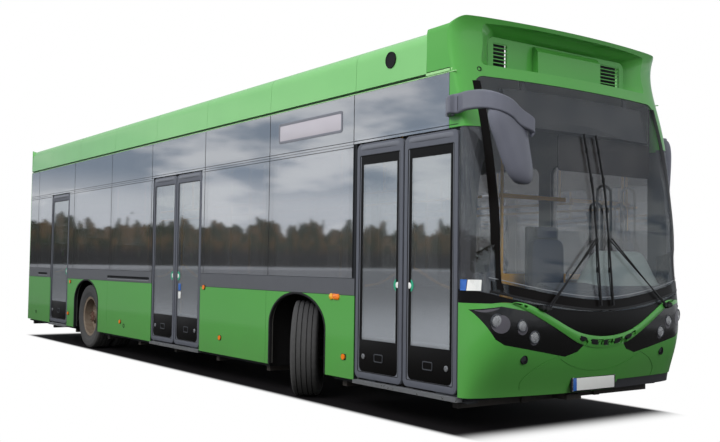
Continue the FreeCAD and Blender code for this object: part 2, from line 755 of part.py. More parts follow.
def make_front():
    corner = FRONT - S.side_end_crown
    above_belt = front_piece(0, S.skin, split_line_face(SCREEN_TOP + 300, 2))
    screen = above_belt.common(span(screen_face(), "x", corner, FRONT + 50))
    nose_start = NOSE_BACK + S.joint_gap / 2
    low_corner = span(outline(rectangle((nose_start, FRONT + 50), (BROW - 2, 900)), "xz"),
                      "y", -1400, 1400)
    around = above_belt.cut(span(screen_face(-3), "x", corner - 10, FRONT + 60))
    quarter = around.common(low_corner)
    node("front_glass", group(feature(screen), feature(quarter)))
    brow = span(outline(rectangle((-1300, 1300), (BROW + 1, S.gutter + S.roof_thickness)),
                        "yz"), "x", corner + 2, FRONT + 50)
    cap = layer(0, HEADER_DEPTH).common(brow).cut(
        span(screen_face(-3), "x", corner - 10, FRONT + 60))
    posts = layer(S.skin, S.frame_depth).common(span(outline(rectangle(
        (corner, FRONT + 50), (S.floor_top + 2, BROW - 2)), "xz"), "y", -1400, 1400))
    posts = posts.cut(span(rounded(rectangle((-1090, 1090), (900, SCREEN_TOP + 300)), 60, "yz"),
                           "x", corner - 10, FRONT + 60))
    window = rounded(rectangle((SIDE_END + 90, FRONT - 160), (1260, 2340)), 40, "xz")
    posts = posts.cut(span(window, "y", -1400, 1400))
    for side in (LEFT, RIGHT):
        posts = posts.cut(span(lamp_face(side, S.fit), "x", LAMP_BACK - S.fit, FRONT + 60))
    doorway = block((corner - 10, NOSE_BACK), (-1400, 0), (S.floor_top - 10, BROW + 40))
    door_post = (NOSE_BACK - S.portal_gap + S.post_set_back, POST_Y, S.floor_top - 10)
    post_room = rod("z", door_post, BROW + 50 - S.floor_top, S.post_radius + 8)
    bodywork = cut(feature(posts), doorway, post_room)
    node("front_header", feature(cap))
    node("front_frame", bodywork)
    apron = front_piece(0, S.skin, face_over_smile(1400, 3), back=nose_start)
    apron = apron.cut(span(split_line_face(1600, -2), "x", corner, FRONT + 60))
    node("front_apron", feature(apron))
    bumper = layer(0, S.skin).common(span(face_under_smile(S.skirt_bottom, 0), "x", nose_start,
                                          FRONT + 50))
    under = outline([(-1500, 200), (1500, 200), (1500, 372), (330, 372), (290, 290),
                     (-290, 290), (-1500, 300)], "yz")
    bumper = bumper.cut(span(under, "x", corner, FRONT + 60))
    for side in (LEFT, RIGHT):
        bumper = bumper.cut(span(lamp_face(side, S.fit), "x", LAMP_BACK - S.fit, FRONT + 60))
        fog = Part.makeCylinder(34, 400, vector(FRONT - 300, side * 849, 596), Vector(1, 0, 0))
        bumper = bumper.cut(fog)
    for slot in (-380, -235, -85, 65, 215, 360):
        rise = 0.55 * abs(slot) / 434 * 71
        bumper = bumper.cut(Part.makeBox(200, 85, 16, vector(FRONT - 150, slot - 35,
                                                             690 + rise)))
    for crease in CREASES:
        groove = span(ribbon(crease, 8), "x", corner, FRONT + 50)
        bumper = bumper.cut(layer(0, CREASE_DEPTH).common(groove))
    node("front_bumper", feature(bumper))
    make_headlamps(corner)


CREASE_DEPTH = 4
CHEEK_CREASE = [(207, 722), (350, 680), (500, 612), (640, 560), (760, 487), (815, 420), (800, 350)]
CREASES = (CHEEK_CREASE, [(-y, z) for y, z in CHEEK_CREASE],
           [(-480, 590), (-250, 498), (0, 468), (250, 498), (480, 590)])


def ribbon(points, width):
    """Narrow yz face along a smooth line through the points."""
    line = Part.BSplineCurve()
    line.interpolate([vector(0, y, z) for y, z in points])
    sides = []
    for shift in (-width / 2, width / 2):
        moved = []
        for point in line.discretize(3 * len(points)):
            along = line.tangent(line.parameter(point))[0]
            moved.append(point + Vector(0, -along.z, along.y) * shift)
        edge = Part.BSplineCurve()
        edge.interpolate(moved)
        sides.append(edge)
    ends = [Part.makeLine(sides[0].StartPoint, sides[1].StartPoint),
            Part.makeLine(sides[0].EndPoint, sides[1].EndPoint)]
    edges = Part.sortEdges([sides[0].toShape(), ends[1], sides[1].toShape(), ends[0]])[0]
    return Part.Face(Part.Wire(edges))


def make_headlamps(corner):
    units = []
    for side in (LEFT, RIGHT):
        cluster = layer(2, S.frame_depth).common(span(lamp_face(side), "x", LAMP_BACK,
                                                      FRONT + 50))
        for y, z, radius in LAMP_BOWLS:
            y = -side * y
            bowl = Part.makeCone(radius, radius * 0.5, 70, vector(FRONT + 10, y, z),
                                 Vector(-1, 0, 0))
            nearest = max(vertex.X for vertex in cluster.common(Part.makeBox(
                600, 4, 4, vector(corner, y - 2, z - 2))).Vertexes)
            bowl.translate(Vector(nearest - float(FRONT) - 12, 0, 0))
            cluster = cluster.cut(bowl)
        units.append(feature(cluster))
    node("headlamps", group(*units))


def make_wipers():
    """Two parked pantograph pairs with long upright blades."""
    sets = []
    for pivot_y, blade_y in ((-690, -75), (860, 75)):
        stand = []
        inner = 1 if pivot_y > 0 else -1
        for shift in (0, 38):
            y, z = pivot_y - inner * shift, 990 + shift * 0.2
            base_x = surface_x(y, z)
            top_y, top_z = blade_y + inner * (6 + shift * 0.3), 1545 + shift * 0.6
            top_x = surface_x(top_y, top_z)
            start, end = vector(base_x + 30, y, z), vector(top_x + 34, top_y, top_z)
            stand.append(Part.makeCylinder(6, (end - start).Length, start, end - start))
            lean = 16 * abs(y) / float(S.bow_radius) + 0.6
            stand.append(Part.makeCylinder(16, 36, vector(base_x + lean, y, z),
                                           Vector(1, 0, 0)))
        points = [vector(surface_x(blade_y, z) + 24, blade_y, z)
                  for z in (1010, 1500, 2000, 2440)]
        for low, high in zip(points[:-1], points[1:]):
            stand.append(Part.makeCylinder(9, (high - low).Length, low, high - low))
            stand.append(Part.makeSphere(9, high))
        whole = stand[0].fuse(stand[1:]).removeSplitter()
        sets.append(feature(whole))
    node("wipers", group(*sets))


def surface_x(y, z):
    """Where the front surface lies at a height and a distance from the middle."""
    line = Part.makeLine(vector(FRONT - 800, y, z), vector(FRONT + 50, y, z))
    return max(end.X for end in line.common(HULLS[0.0]).Vertexes)


HEAD_STATIONS = ((-0.015, 0.25, 0.2), (0.03, 0.6, 0.5), (0.17, 0.83, 0.74), (0.42, 0.94, 0.88),
                 (0.67, 1.0, 1.0), (0.87, 0.94, 0.88), (0.97, 0.67, 0.6), (1.0, 0.3, 0.3))
ARM_STATIONS = ((0, 1288, 2502, 2662, 36, 11), (130, 1315, 2510, 2668, 39, 13),
                (260, 1348, 2510, 2664, 40, 15), (390, 1384, 2503, 2652, 40, 13),
                (510, 1409, 2491, 2636, 39, 4), (605, 1403, 2476, 2614, 37, -24),
                (662, 1348, 2454, 2588, 35, -58), (690, 1255, 2408, 2545, 34, -82),
                (692, 1160, 2352, 2485, 33, -92), (684, 1065, 2290, 2410, 30, -96))


def oval(centre, reach_x, reach_y):
    along_x, along_y = centre + Vector(reach_x, 0, 0), centre + Vector(0, reach_y, 0)
    first, second = (along_x, along_y) if reach_x > reach_y else (along_y, along_x)
    return Part.Wire(Part.Ellipse(first, second, centre).toShape())


def mirror_head(foot, top, depth, breadth, flat):
    """Teardrop housing about the line from foot to top, flat behind, and the mirror in it."""
    low, height = float(S.mirror_bottom), float(S.mirror_top - S.mirror_bottom)
    forms = []
    for inset in (0, 14):
        wires = []
        for share, deep, broad in HEAD_STATIONS:
            centre = foot + (top - foot) * share
            centre.z = low + share * height + (inset if share < 0.5 else -inset)
            wires.append(oval(centre, depth * deep - inset / 2, breadth * broad - inset / 2))
        forms.append(Part.makeLoft(wires, True, False))
    whole, inner = forms
    behind = Part.makeBox(300, 800, 900, Vector(flat - 300, foot.y - 400, low - 100))
    pocket = Part.makeBox(6, 800, 900, Vector(flat, foot.y - 400, low - 100)).common(inner)
    mirror = Part.makeBox(4.5, 800, 900, Vector(flat + 1.5, foot.y - 400, low - 100)).common(inner)
    return whole.cut(behind).cut(pocket), mirror


def mirror_arm(root):
    """Broad blade that sweeps out from the side, forward and in over its head."""
    wires = []
    for reach, y, low, high, thick, heading in ARM_STATIONS:
        face = rounded(rectangle((-thick / 2, thick / 2), (low, high)), thick / 2 - 2, "yz")
        face.rotate(Vector(0, 0, 0), Vector(0, 0, 1), heading)
        face.translate(Vector(root + reach, y, 0))
        wires.append(face.OuterWire)
    return Part.makeLoft(wires, True, False)


def moved_to(shape, x=None, y=None):
    """How far a shape has to move for its front or its left end to lie at a place."""
    bounds = shape.optimalBoundingBox()
    return Vector(0 if x is None else x - bounds.XMax, 0 if y is None else y - bounds.YMax, 0)


def make_mirrors():
    """A head on a sweeping arm ahead of the right corner, and one beside the left corner."""
    reach, half_span = float(S.mirror_reach + FRONT), float(S.mirror_half_span)
    wall, depth, breadth = float(SIDE), float(S.head_depth), float(S.head_breadth)
    root = reach - float(S.arm_root)
    head, mirror = mirror_head(Vector(reach - depth + 20, wall - 165, 0),
                               Vector(reach - depth - 35, wall, 0), depth, breadth,
                               reach - 1.8 * depth)
    arm = mirror_arm(root)
    shift = moved_to(head.fuse(arm), reach, half_span)
    for piece in (head, mirror, arm):
        piece.translate(shift)
    pad = Part.makeBox(70, 54, 146, Vector(root - 20, wall - 20, 2508))
    seat = hull(-float(S.fit))
    right = head.fuse(arm.fuse(pad).cut(seat))
    slim = 77
    middle = Vector(float(FRONT) - 440, half_span - slim, 0)
    left, near_mirror = mirror_head(middle, middle, 85, slim, middle.x - 60)
    shift = moved_to(left, y=half_span)
    left.translate(shift)
    near_mirror.translate(shift)
    bracket = span(rounded(rectangle((middle.x - 38, middle.x + 38), (2490, 2566)), 20, "xz"),
                   "y", wall - 20, middle.y + 20)
    left = left.fuse(bracket.cut(seat))
    node("mirrors", group(mirrored(feature(right)), mirrored(feature(mirror)), feature(left),
                          feature(near_mirror)))


# Rear end

def make_rear():
    """Rear wall with its window opening, lamp columns and the opening for the lid."""
    wall = layer(0, S.frame_depth).common(span(outline(rectangle(
        (-1400, 1400), (S.skirt_bottom, S.gutter)), "yz"),
        "x", REAR - 10, REAR + S.rear_corner_radius - 2))
    window = rounded(rectangle((-1000, 1000), (S.glass_bottom + 250, S.glass_top + 60)), 90,
                     "yz")
    clear = rounded(rectangle((-940, 940), (S.glass_bottom + 310, S.glass_top)), 60, "yz")
    wall = wall.cut(span(window, "x", REAR - 10, REAR + S.skin))
    wall = wall.cut(span(clear, "x", REAR - 10, REAR + 200))
    wall = wall.cut(span(outline(rectangle(*LID_HOLE), "yz"), "x", REAR - 10, REAR + 200))
    lamps = []
    for side in (LEFT, RIGHT):
        for z in LAMP_HEIGHTS:
            seat = Part.makeCylinder(62, 40, vector(REAR - 10, side * 1090, z), Vector(1, 0, 0))
            wall = wall.cut(seat)
            lamps.append(rod("x", (REAR + 2, side * 1090, z), 28, 61.7))
    barrels = [hinge_barrel(y, True) for y in LID_HINGES]
    node("rear_wall", feature(wall.fuse(barrels).removeSplitter()))
    for place_, z in ((2385, 988), (2320, 485), (7160, 1030), (7590, 473), (4545, 478),
                      (10060, 476), (9900, 1022)):
        lamps += [rod("y", (REAR + place_, side * SIDE if side == LEFT else -SIDE - 12, z), 12, 26)
                  for side in (LEFT, RIGHT)]
    node("lamps", group(*lamps))
    (low_y, high_y), (low_z, high_z) = LID_HOLE
    lid = layer(2, 24).common(span(outline(rectangle(
        (low_y + 6, high_y - 6), (low_z + 6, high_z - 20)), "yz"), "x", REAR - 10, REAR + 60))
    lid = lid.cut(span(outline(rectangle((low_y + 56, high_y - 56), (low_z + 56, high_z - 70)),
                               "yz"), "x", REAR + 8, REAR + 60))
    for rib in range(9):
        slot = Part.makeBox(60, 1100, 14, vector(REAR - 10, -550, low_z + 130 + 34 * rib))
        lid = lid.cut(slot)
    barrels = [hinge_barrel(y, False) for y in LID_HINGES]
    node("rear_lid", feature(lid.fuse(barrels).removeSplitter()))


def hinge_barrel(y, fixed):
    """Half of a hinge: the barrel on the wall with its pin, or the bored pair on the lid."""
    x, z = float(REAR) + LID_HINGE_INSET, float(LID_HINGE_HEIGHT)
    radius, half, along = 6, 22, Vector(0, 1, 0)
    if fixed:
        barrel = Part.makeCylinder(radius, 2 * half, Vector(x, y - half, z), along)
        pin = Part.makeCylinder(3, 6 * half, Vector(x, y - 3 * half, z), along)
        plate = Part.makeBox(5, 2 * half, 24, Vector(x, y - half, z))
        return barrel.fuse([pin, plate])
    pair = []
    for low in (y - 3 * half, y + half + 1):
        barrel = Part.makeCylinder(radius, 2 * half - 1, Vector(x, low, z), along)
        plate = Part.makeBox(5, 2 * half - 1, 16, Vector(x, low, z - 16))
        hole = Part.makeCylinder(3.3, 2 * half + 8, Vector(x, low - 4, z), along)
        pair.append(barrel.fuse(plate).cut(hole))
    return pair[0].fuse(pair[1])


LID_HOLE = ((-940, 940), (560, 1330))
LID_HINGE_INSET, LID_HINGE_HEIGHT = 8, 1318
LID_HINGES = (-700, 0, 700)
LAMP_HEIGHTS = (700, 850, 1000, 1150)


# Wheels, axles and steering

def bound_sketch(body, plane, points):
    """A closed outline in a body's sketch, every corner bound to its formulas."""
    sketch = body.newObject("Sketcher::SketchObject", "Outline")
    origin_plane = next(item for item in body.Origin.OriginFeatures if item.Role == plane)
    sketch.AttachmentSupport = [(origin_plane, "")]
    sketch.MapMode = "FlatFace"
    count = len(points)
    numbers = [(float(a), float(b)) for a, b in points]
    for index in range(count):
        start, end = numbers[index], numbers[(index + 1) % count]
        sketch.addGeometry(Part.LineSegment(Vector(*start, 0), Vector(*end, 0)), False)
    for index in range(count):
        sketch.addConstraint(Sketcher.Constraint("Coincident", index, 2, (index + 1) % count, 1))
    for index, (a, b) in enumerate(points):
        for kind, number in (("DistanceX", a), ("DistanceY", b)):
            mark = sketch.addConstraint(Sketcher.Constraint(kind, -1, 1, index, 1, float(number)))
            sketch.setExpression(f"Constraints[{mark}]", as_length(number).formula)
    return sketch


def wheel_form(name, points):
    """A body revolved about the wheel's own axis, +Y, from an (x, y) outline."""
    body = doc.addObject("PartDesign::Body", name)
    sketch = bound_sketch(body, "XY_Plane", points)
    turned = body.newObject("PartDesign::Revolution", "Turned")
    turned.Profile = sketch
    turned.ReferenceAxis = (sketch, ["V_Axis"])
    turned.Angle = 360
    body.Tip = turned
    return body


def tyre_points():
    half, top, seat = S.tyre_width / 2, S.tyre_radius, S.rim_radius + S.fit
    bead = S.rim_width / 2 - 12 - S.fit
    return [(seat, -bead), (seat, bead), (seat + 13, bead), (seat + 30, half - 20),
            (seat + 95, half),
            (top - 40, half - 8), (top - 7, half - 26), (top, half - 60), (top, 60 - half),
            (top - 7, 26 - half), (top - 40, 8 - half), (seat + 95, -half),
            (seat + 30, 20 - half), (seat + 13, -bead)]


def rim_points(centre, disc, dish):
    """Rim about a centre plane, with a disc at the distance disc from it."""
    half, out, inner = S.rim_width / 2, S.rim_radius, S.rim_radius - 12
    hub = 95
    return [(hub, centre + disc), (hub, centre + disc + 14),
            (190, centre + disc + 14), (inner - 10, centre + disc + 14 + dish),
            (inner - 10, centre + half - 6), (out + 12, centre + half),
            (out + 12, centre + half - 10), (out, centre + half - 12),
            (out, centre - half + 12), (out + 12, centre - half + 10),
            (out + 12, centre - half), (inner, centre - half + 6), (inner, centre + disc + dish),
            (190, centre + disc)]


STUB_RADIUS, REAR_STUB_RADIUS = 46, 60
WHEEL_OFFSET = S.wheel_centre - S.king_pin


def make_front_wheels():
    """Knuckle, wheel and tyre of each side, turned by the steering about the king pin."""
    for side, word in ((RIGHT, "right"), (LEFT, "left")):
        at = (AXLE_FRONT, side * S.king_pin, S.tyre_radius)

        def steered(obj):
            return place(obj, *at, angle=-S.steer_angle)

        rim = wheel_form("Rim", rim_points(0, 62, -20))
        bore = STUB_RADIUS + 0.8
        hub = wheel_form("Hub", [(bore, -85), (bore, 118), (0, 118),
                                 (0, 132), (88, 132), (96, 100), (96, -40), (140, -55),
                                 (140, -85)])
        tyre = wheel_form("Tyre", tyre_points())
        wheel = fuse(rim, hub)
        for piece, label in ((wheel, f"wheel_front_{word}"), (tyre, f"tyre_front_{word}")):
            turned = piece if side == LEFT else mirrored(piece)
            local = group_at(turned, side * WHEEL_OFFSET)
            node(label, steered(local))
        node(f"knuckle_{word}", steered(knuckle(side)))


def group_at(obj, shift_y):
    """The piece moved along Y, kept as a group so that it can be placed again."""
    moved = doc.addObject("Part::Compound", "Moved")
    moved.Links = [obj]
    shifted = doc.addObject("Part::Compound", "Shifted")
    place(obj, 0, shift_y, 0)
    shifted.Links = [moved]
    return shifted


EYE_LOW, EYE_HIGH = -79, 81


def across(side, low, high):
    """Bounds on Y at a side, from distances out from the middle or from a king pin."""
    return (low, high) if side == LEFT else (-as_length(high), -as_length(low))


def knuckle(side):
    """Fork round the axle's eye, stub for the hub and the arm that the tie rod pulls."""
    gap = 3
    top, bottom = EYE_HIGH + gap, EYE_LOW - gap
    parts = [rod("z", (0, 0, bottom - 34), top - bottom + 68, S.king_pin_radius),
             block((-44, 44), across(side, 0, 100), (top, top + 34)),
             block((-44, 44), across(side, 0, 100), (bottom - 34, bottom)),
             rod("z", (0, 0, top), 34, 44), rod("z", (0, 0, bottom - 34), 34, 44),
             block((-44, 44), across(side, 66, 100), (bottom - 34, top + 34))]
    stub_length = WHEEL_OFFSET + 100 - 84
    start = 84 if side == LEFT else -(as_length(84) + stub_length)
    parts.append(rod("y", (0, start, 0), stub_length, STUB_RADIUS))
    arm_low = RAIL_BOTTOM + 25 - S.tyre_radius
    parts.append(rod("z", (0, 0, arm_low), bottom - 34 - arm_low, 28))
    arm = fuse(block((-S.tie_arm, 0), (-18, 18), (arm_low, arm_low + 22)),
               rod("z", (-S.tie_arm, 0, arm_low), 22, 24))
    parts.append(cut(arm, rod("z", (-S.tie_arm, 0, arm_low - 5), 40, 10)))
    return fuse(*parts)


def make_tie_rod():
    """Rod under the floor that keeps both knuckles parallel."""
    turn = float(S.steer_angle)
    reach = float(S.tie_arm)
    shift_x, shift_y = -reach * math.cos(math.radians(turn)), reach * math.sin(math.radians(turn))
    low = float(RAIL_BOTTOM) + 25
    rod_z = low - 26
    x, half = float(AXLE_FRONT) + shift_x, float(S.king_pin)
    bar = Part.makeCylinder(15, 2 * half, Vector(x, shift_y - half, rod_z), Vector(0, 1, 0))
    for side in (LEFT, RIGHT):
        centre = Vector(x, shift_y + side * half, rod_z - 16)
        bar = bar.fuse([Part.makeCylinder(21, 32, centre),
                        Part.makeCylinder(9.4, 66, centre)])
    node("tie_rod", feature(bar.removeSplitter()))


def make_axles():
    top = S.beam_bottom + S.beam_height
    eye_z = S.tyre_radius + EYE_LOW
    eye_height = EYE_HIGH - EYE_LOW
    parts = [block((AXLE_FRONT - 60, AXLE_FRONT + 60), (-700, 700), (S.beam_bottom, top))]
    holes = []
    for side in (LEFT, RIGHT):
        parts.append(block((AXLE_FRONT - 50, AXLE_FRONT + 50), across(side, 620, 700),
                           (S.beam_bottom, S.tyre_radius + 61)))
        parts.append(block((AXLE_FRONT - 42, AXLE_FRONT + 42), across(side, 620, S.king_pin),
                           (S.tyre_radius - 59, S.tyre_radius + 61)))
        parts.append(rod("z", (AXLE_FRONT, side * S.king_pin, eye_z), eye_height, 44))
        holes.append(rod("z", (AXLE_FRONT, side * S.king_pin, eye_z - 5), eye_height + 10,
                         S.king_pin_radius + S.fit))
    node("front_axle", cut(fuse(*parts), *holes))
    inner_face = S.wheel_centre - S.twin_spacing - S.tyre_width / 2
    inner = S.housing_inner
    rear = [block((AXLE_REAR - 110, AXLE_REAR + 110), (-600, 600), (S.beam_bottom, top + 10))]
    for side in (LEFT, RIGHT):
        post = across(side, inner + S.housing_wall + 5, inner_face - 30)
        rear.append(block((AXLE_REAR - 110, AXLE_REAR + 110), post,
                          (S.beam_bottom, S.tyre_radius + 130)))
        length = S.wheel_centre - inner_face + 94
        start = inner_face - 40 if side == LEFT else -(inner_face - 40 + length)
        rear.append(rod("y", (AXLE_REAR, start, S.tyre_radius), length, REAR_STUB_RADIUS))
    node("rear_axle", fuse(*rear))


def make_rear_wheels():
    """Twin wheels on one hub at each side."""
    for side, word in ((RIGHT, "right"), (LEFT, "left")):
        outer_rim = wheel_form("OuterRim", rim_points(0, -70, 40))
        inner_rim = wheel_form("InnerRim", rim_points(-S.twin_spacing, 40, 0))
        bore = REAR_STUB_RADIUS + 0.8
        hub = wheel_form("Hub", [(bore, -S.twin_spacing - 20), (bore, 56), (0, 56), (0, 74),
                                 (84, 66), (96, 20), (96, -S.twin_spacing - 20)])
        wheel = fuse(outer_rim, inner_rim, hub)
        outer_tyre = wheel_form("Tyre", tyre_points())
        inner_tyre = doc.addObject("Part::Compound", "InnerTyre")
        inner_tyre.Links = [wheel_form("Twin", tyre_points())]
        place(inner_tyre, 0, -S.twin_spacing, 0)
        pair = group(outer_tyre, inner_tyre)
        for piece, label in ((wheel, f"wheel_rear_{word}"), (pair, f"tyre_rear_{word}")):
            turned = piece if side == LEFT else mirrored(piece)
            holder = doc.addObject("Part::Compound", "Holder")
            holder.Links = [turned]
            node(label, place(holder, AXLE_REAR, side * S.wheel_centre, S.tyre_radius))


def make_suspension():
    """Air bellows between axle brackets and the body."""
    parts = []
    for axle, reach in ((AXLE_FRONT, 480), (AXLE_REAR, 400)):
        for side in (LEFT, RIGHT):
            y = side * reach
            carrier = block((axle - 380, axle + 380), (y - 40, y + 40),
                            (S.beam_bottom - 20, S.beam_bottom))
            bellows = [rod("z", (axle + lean * 300, y, S.beam_bottom),
                           FLOOR_BOTTOM - S.beam_bottom, 62) for lean in (-1, 1)]
            parts.append(fuse(carrier, *bellows))
    node("suspension", group(*parts))


# Doors

def leaf_sides(name):
    """For each leaf of a doorway: its letter, jamb edge, width and direction."""
    start, width = DOORWAYS[name]
    if name == "rear":
        return [("", start + width - S.portal_gap, width - 2 * S.portal_gap, -1)]
    leaf = (width - 2 * S.portal_gap - S.meeting_gap) / 2
    return [("_a", start + S.portal_gap, leaf, 1),
            ("_b", start + width - S.portal_gap, leaf, -1)]


LEAF_OUT = -(SIDE - S.leaf_inset)
LEAF_IN = LEAF_OUT + S.leaf_thickness
LEAF_MIDDLE = LEAF_OUT + S.leaf_thickness / 2
POST_Y = LEAF_MIDDLE + S.post_inboard
PIVOT_Y = LEAF_MIDDLE + S.pivot_inset
ARM_LOW = S.door_top - 8 + S.arm_gap
FOOT_LOW = S.floor_top + 3


def make_doors():
    for name in DOORWAYS:
        for letter, edge, width, along in leaf_sides(name):
            label = f"door_{name}{letter}"
            make_leaf(label, edge, width, along)
            make_arm(label, edge, width, along)


def pivot_reach(width):
    """Distance along the doorway from a rotary post to its leaf's pivot."""
    return width / 2 - S.post_set_back


def make_leaf(label, edge, width, along):
    low, high = (edge, edge + width) if along > 0 else (edge - width, edge)
    z = (S.door_bottom, S.door_top - 8)
    rim = S.leaf_rim
    shell = feature(span(rounded(rectangle((low, high), z), 55, "xz"), "y", LEAF_OUT, LEAF_IN))
    hole = feature(span(rounded(rectangle((low + rim, high - rim), (z[0] + rim, z[1] - rim)),
                                50, "xz"), "y", LEAF_OUT - 5, LEAF_IN + 5))
    frame = cut(shell, hole)
    rung = block((low + rim - 5, high - rim + 5), (LEAF_MIDDLE - 2, LEAF_IN - 4), (640, 690))
    pivot_x = edge - along * S.post_set_back + along * pivot_reach(width)
    pins = [rod("z", (pivot_x, PIVOT_Y, z[1] - 5), S.arm_gap + S.arm_height + 7, S.pin_radius),
            rod("z", (pivot_x, PIVOT_Y, FOOT_LOW), z[0] + 5 - FOOT_LOW, S.pin_radius)]
    node(label, fuse(frame, rung, *pins))
    pane = span(rounded(rectangle((low + rim + S.fit, high - rim - S.fit),
                                  (z[0] + rim + S.fit, z[1] - rim - S.fit)), 50, "xz"),
                "y", LEAF_OUT + 4, LEAF_MIDDLE - 4)
    node(f"{label}_glass", feature(pane))


def make_arm(label, edge, width, along):
    """Rotary post with the arms above and below the leaf."""
    x = edge - along * S.post_set_back
    reach_x, reach_y = pivot_reach(width), S.post_inboard - S.pivot_inset
    length = math.hypot(float(reach_x), float(reach_y))
    angle = math.degrees(math.atan2(-float(reach_y), along * float(reach_x)))
    post_low = float(S.floor_top) + 0.3
    post = Part.makeCylinder(float(S.post_radius), float(ARM_LOW + S.arm_height) - post_low,
                             vector(x, POST_Y, post_low))
    parts = []
    for low, height in ((ARM_LOW, S.arm_height), (FOOT_LOW, S.foot_height)):
        half = float(S.arm_width) / 2
        bar = Part.makeBox(length, 2 * half, float(height), Vector(0, -half, 0))
        eye = Part.makeCylinder(half, float(height), Vector(length, 0, 0))
        hole = Part.makeCylinder(float(S.pin_radius) + 0.4, float(height) + 4,
                                 Vector(length, 0, -2))
        arm = bar.fuse(eye).cut(hole)
        arm.rotate(Vector(0, 0, 0), Vector(0, 0, 1), angle)
        arm.translate(vector(x, POST_Y, low))
        parts.append(arm)
    node(f"{label}_arm", feature(post.fuse(parts).removeSplitter()))


def make_sills():
    """Aluminium step edges under the doorways."""
    sills = [block((start + 2, start + width - 2), (-SIDE - 12, -FRAME_IN),
                   (S.floor_top - 32, S.floor_top)) for start, width in DOORWAYS.values()]
    node("door_sills", group(*sills))


# Cab and saloon

def make_cab():
    dash_line = [(FRONT - 330, 640), (FRONT - 120, 640), (FRONT - 75, 900),
                 (FRONT - 110, 1130), (FRONT - 330, 1190), (FRONT - 640, 1060),
                 (FRONT - 640, 980), (FRONT - 420, 930)]
    dash = feature(span(outline(dash_line, "xz"), "y", -420, 1130))
    hood_line = [(FRONT - 470, 1000), (FRONT - 330, 1000), (FRONT - 330, 1255),
                 (FRONT - 440, 1280)]
    hood = feature(span(rounded(hood_line, 30, "xz"), "y", 470, 930))
    podium = block((FRONT - 1500, FRONT - 330), (330, 1150), (S.floor_top, S.floor_top + 180))
    foot = block((FRONT - 360, FRONT - 240), (-420, 1130), (S.floor_top, 760))
    inside = feature(hull(S.frame_depth + 2))
    hub_x, hub_y, hub_z = FRONT - 720, 700, 1090
    ring = doc.addObject("Part::Torus", "Ring")
    ring.Radius1 = 225
    ring.Radius2 = 14
    tilt = Rotation(Vector(0, 1, 0), -28)
    place(ring, hub_x, hub_y, hub_z, rotation=tilt)
    spokes = []
    for angle in (0, 120, 240):
        spoke = doc.addObject("Part::Cylinder", "Spoke")
        spoke.Radius = 12
        spoke.Height = 222
        turn = tilt.multiply(Rotation(Vector(0, 0, 1), angle)).multiply(
            Rotation(Vector(0, 1, 0), 90))
        spokes.append(place(spoke, hub_x, hub_y, hub_z, rotation=turn))
    columns = []
    for radius in (38, 38 + S.fit):
        column = doc.addObject("Part::Cylinder", "Column")
        bind(column, "Radius", radius)
        column.Height = 300
        columns.append(place(column, hub_x, hub_y, hub_z, rotation=tilt.multiply(
            Rotation(Vector(1, 0, 0), 180))))
    spokes.append(columns[0])
    node("dashboard", cut(both_of(fuse(dash, hood, foot, podium), inside), columns[1]))
    node("steering_wheel", fuse(ring, *spokes))
    seat_x = FRONT - 1330
    seat = fuse(block((seat_x, seat_x + 500), (460, 940), (S.floor_top + 560, 960)),
                block((seat_x - 60, seat_x + 70), (470, 930), (900, 1720)),
                block((seat_x + 120, seat_x + 380), (580, 820),
                      (S.floor_top + 180, S.floor_top + 580)))
    node("driver_seat", seat)


def seat_shell(x, y_low, facing, base):
    """One moulded seat on its floor bracket, facing +X or -X."""
    low, high = base + S.seat_height - 70, base + S.seat_height
    front, back = (x, x + facing * 430), (x - facing * 40, x + facing * 30)
    y = (y_low, y_low + S.seat_width)
    return fuse(block(ordered(*front), y, (low, high)),
                block(ordered(*back), y, (low, high + 520)),
                block(ordered(x + facing * 120, x + facing * 300),
                      (y_low + 160, y_low + 240), (base, low + 10)))


def ordered(a, b):
    return (a, b) if float(a) < float(b) else (b, a)


def make_seats():
    seats = []
    left = FRAME_IN - S.seat_width - 20
    for number in range(4):
        x = REAR + 4600 + number * S.seat_pitch
        seats.append(seat_shell(x, left, 1, S.floor_top))
    for number in range(2):
        seats.append(seat_shell(REAR + 4180 + number * S.seat_pitch, -FRAME_IN + 20, 1,
                                S.floor_top))
        seats.append(seat_shell(REAR + 7400 + number * S.seat_pitch, left, 1, S.floor_top))
    for axle in (AXLE_REAR, AXLE_FRONT):
        for side_low in (left, -FRAME_IN + 20):
            seats.append(seat_on_housing(axle, side_low))
    for y in (-1180, -700, -220, 260, 740):
        across_bench = (y, y + S.seat_width)
        seats.append(fuse(block((REAR + 290, REAR + 780), across_bench,
                                (S.bench_top, S.bench_top + 70)),
                          block((REAR + 232, REAR + 292), across_bench,
                                (S.bench_top, S.bench_top + 620))))
    node("seats", group(*seats))


def seat_on_housing(axle, y_low):
    base = S.housing_top
    y = (y_low, y_low + S.seat_width)
    return fuse(block((axle - 220, axle + 220), y, (base, base + 70)),
                block((axle - 260, axle - 200), y, (base, base + 600)))


CEILING_RAILS = ((LEFT, 700, (900, 3300, 5300, 7600, 9700), (4300, 7300)),
                 (RIGHT, 2400, (2480, 5300, 7600, 9700), (3800,)))
POLES = ((5400, -760), (7300, -760), (10050, -620))
CEILING_RAIL_HEIGHT = 2050
RAIL_LAP = 4


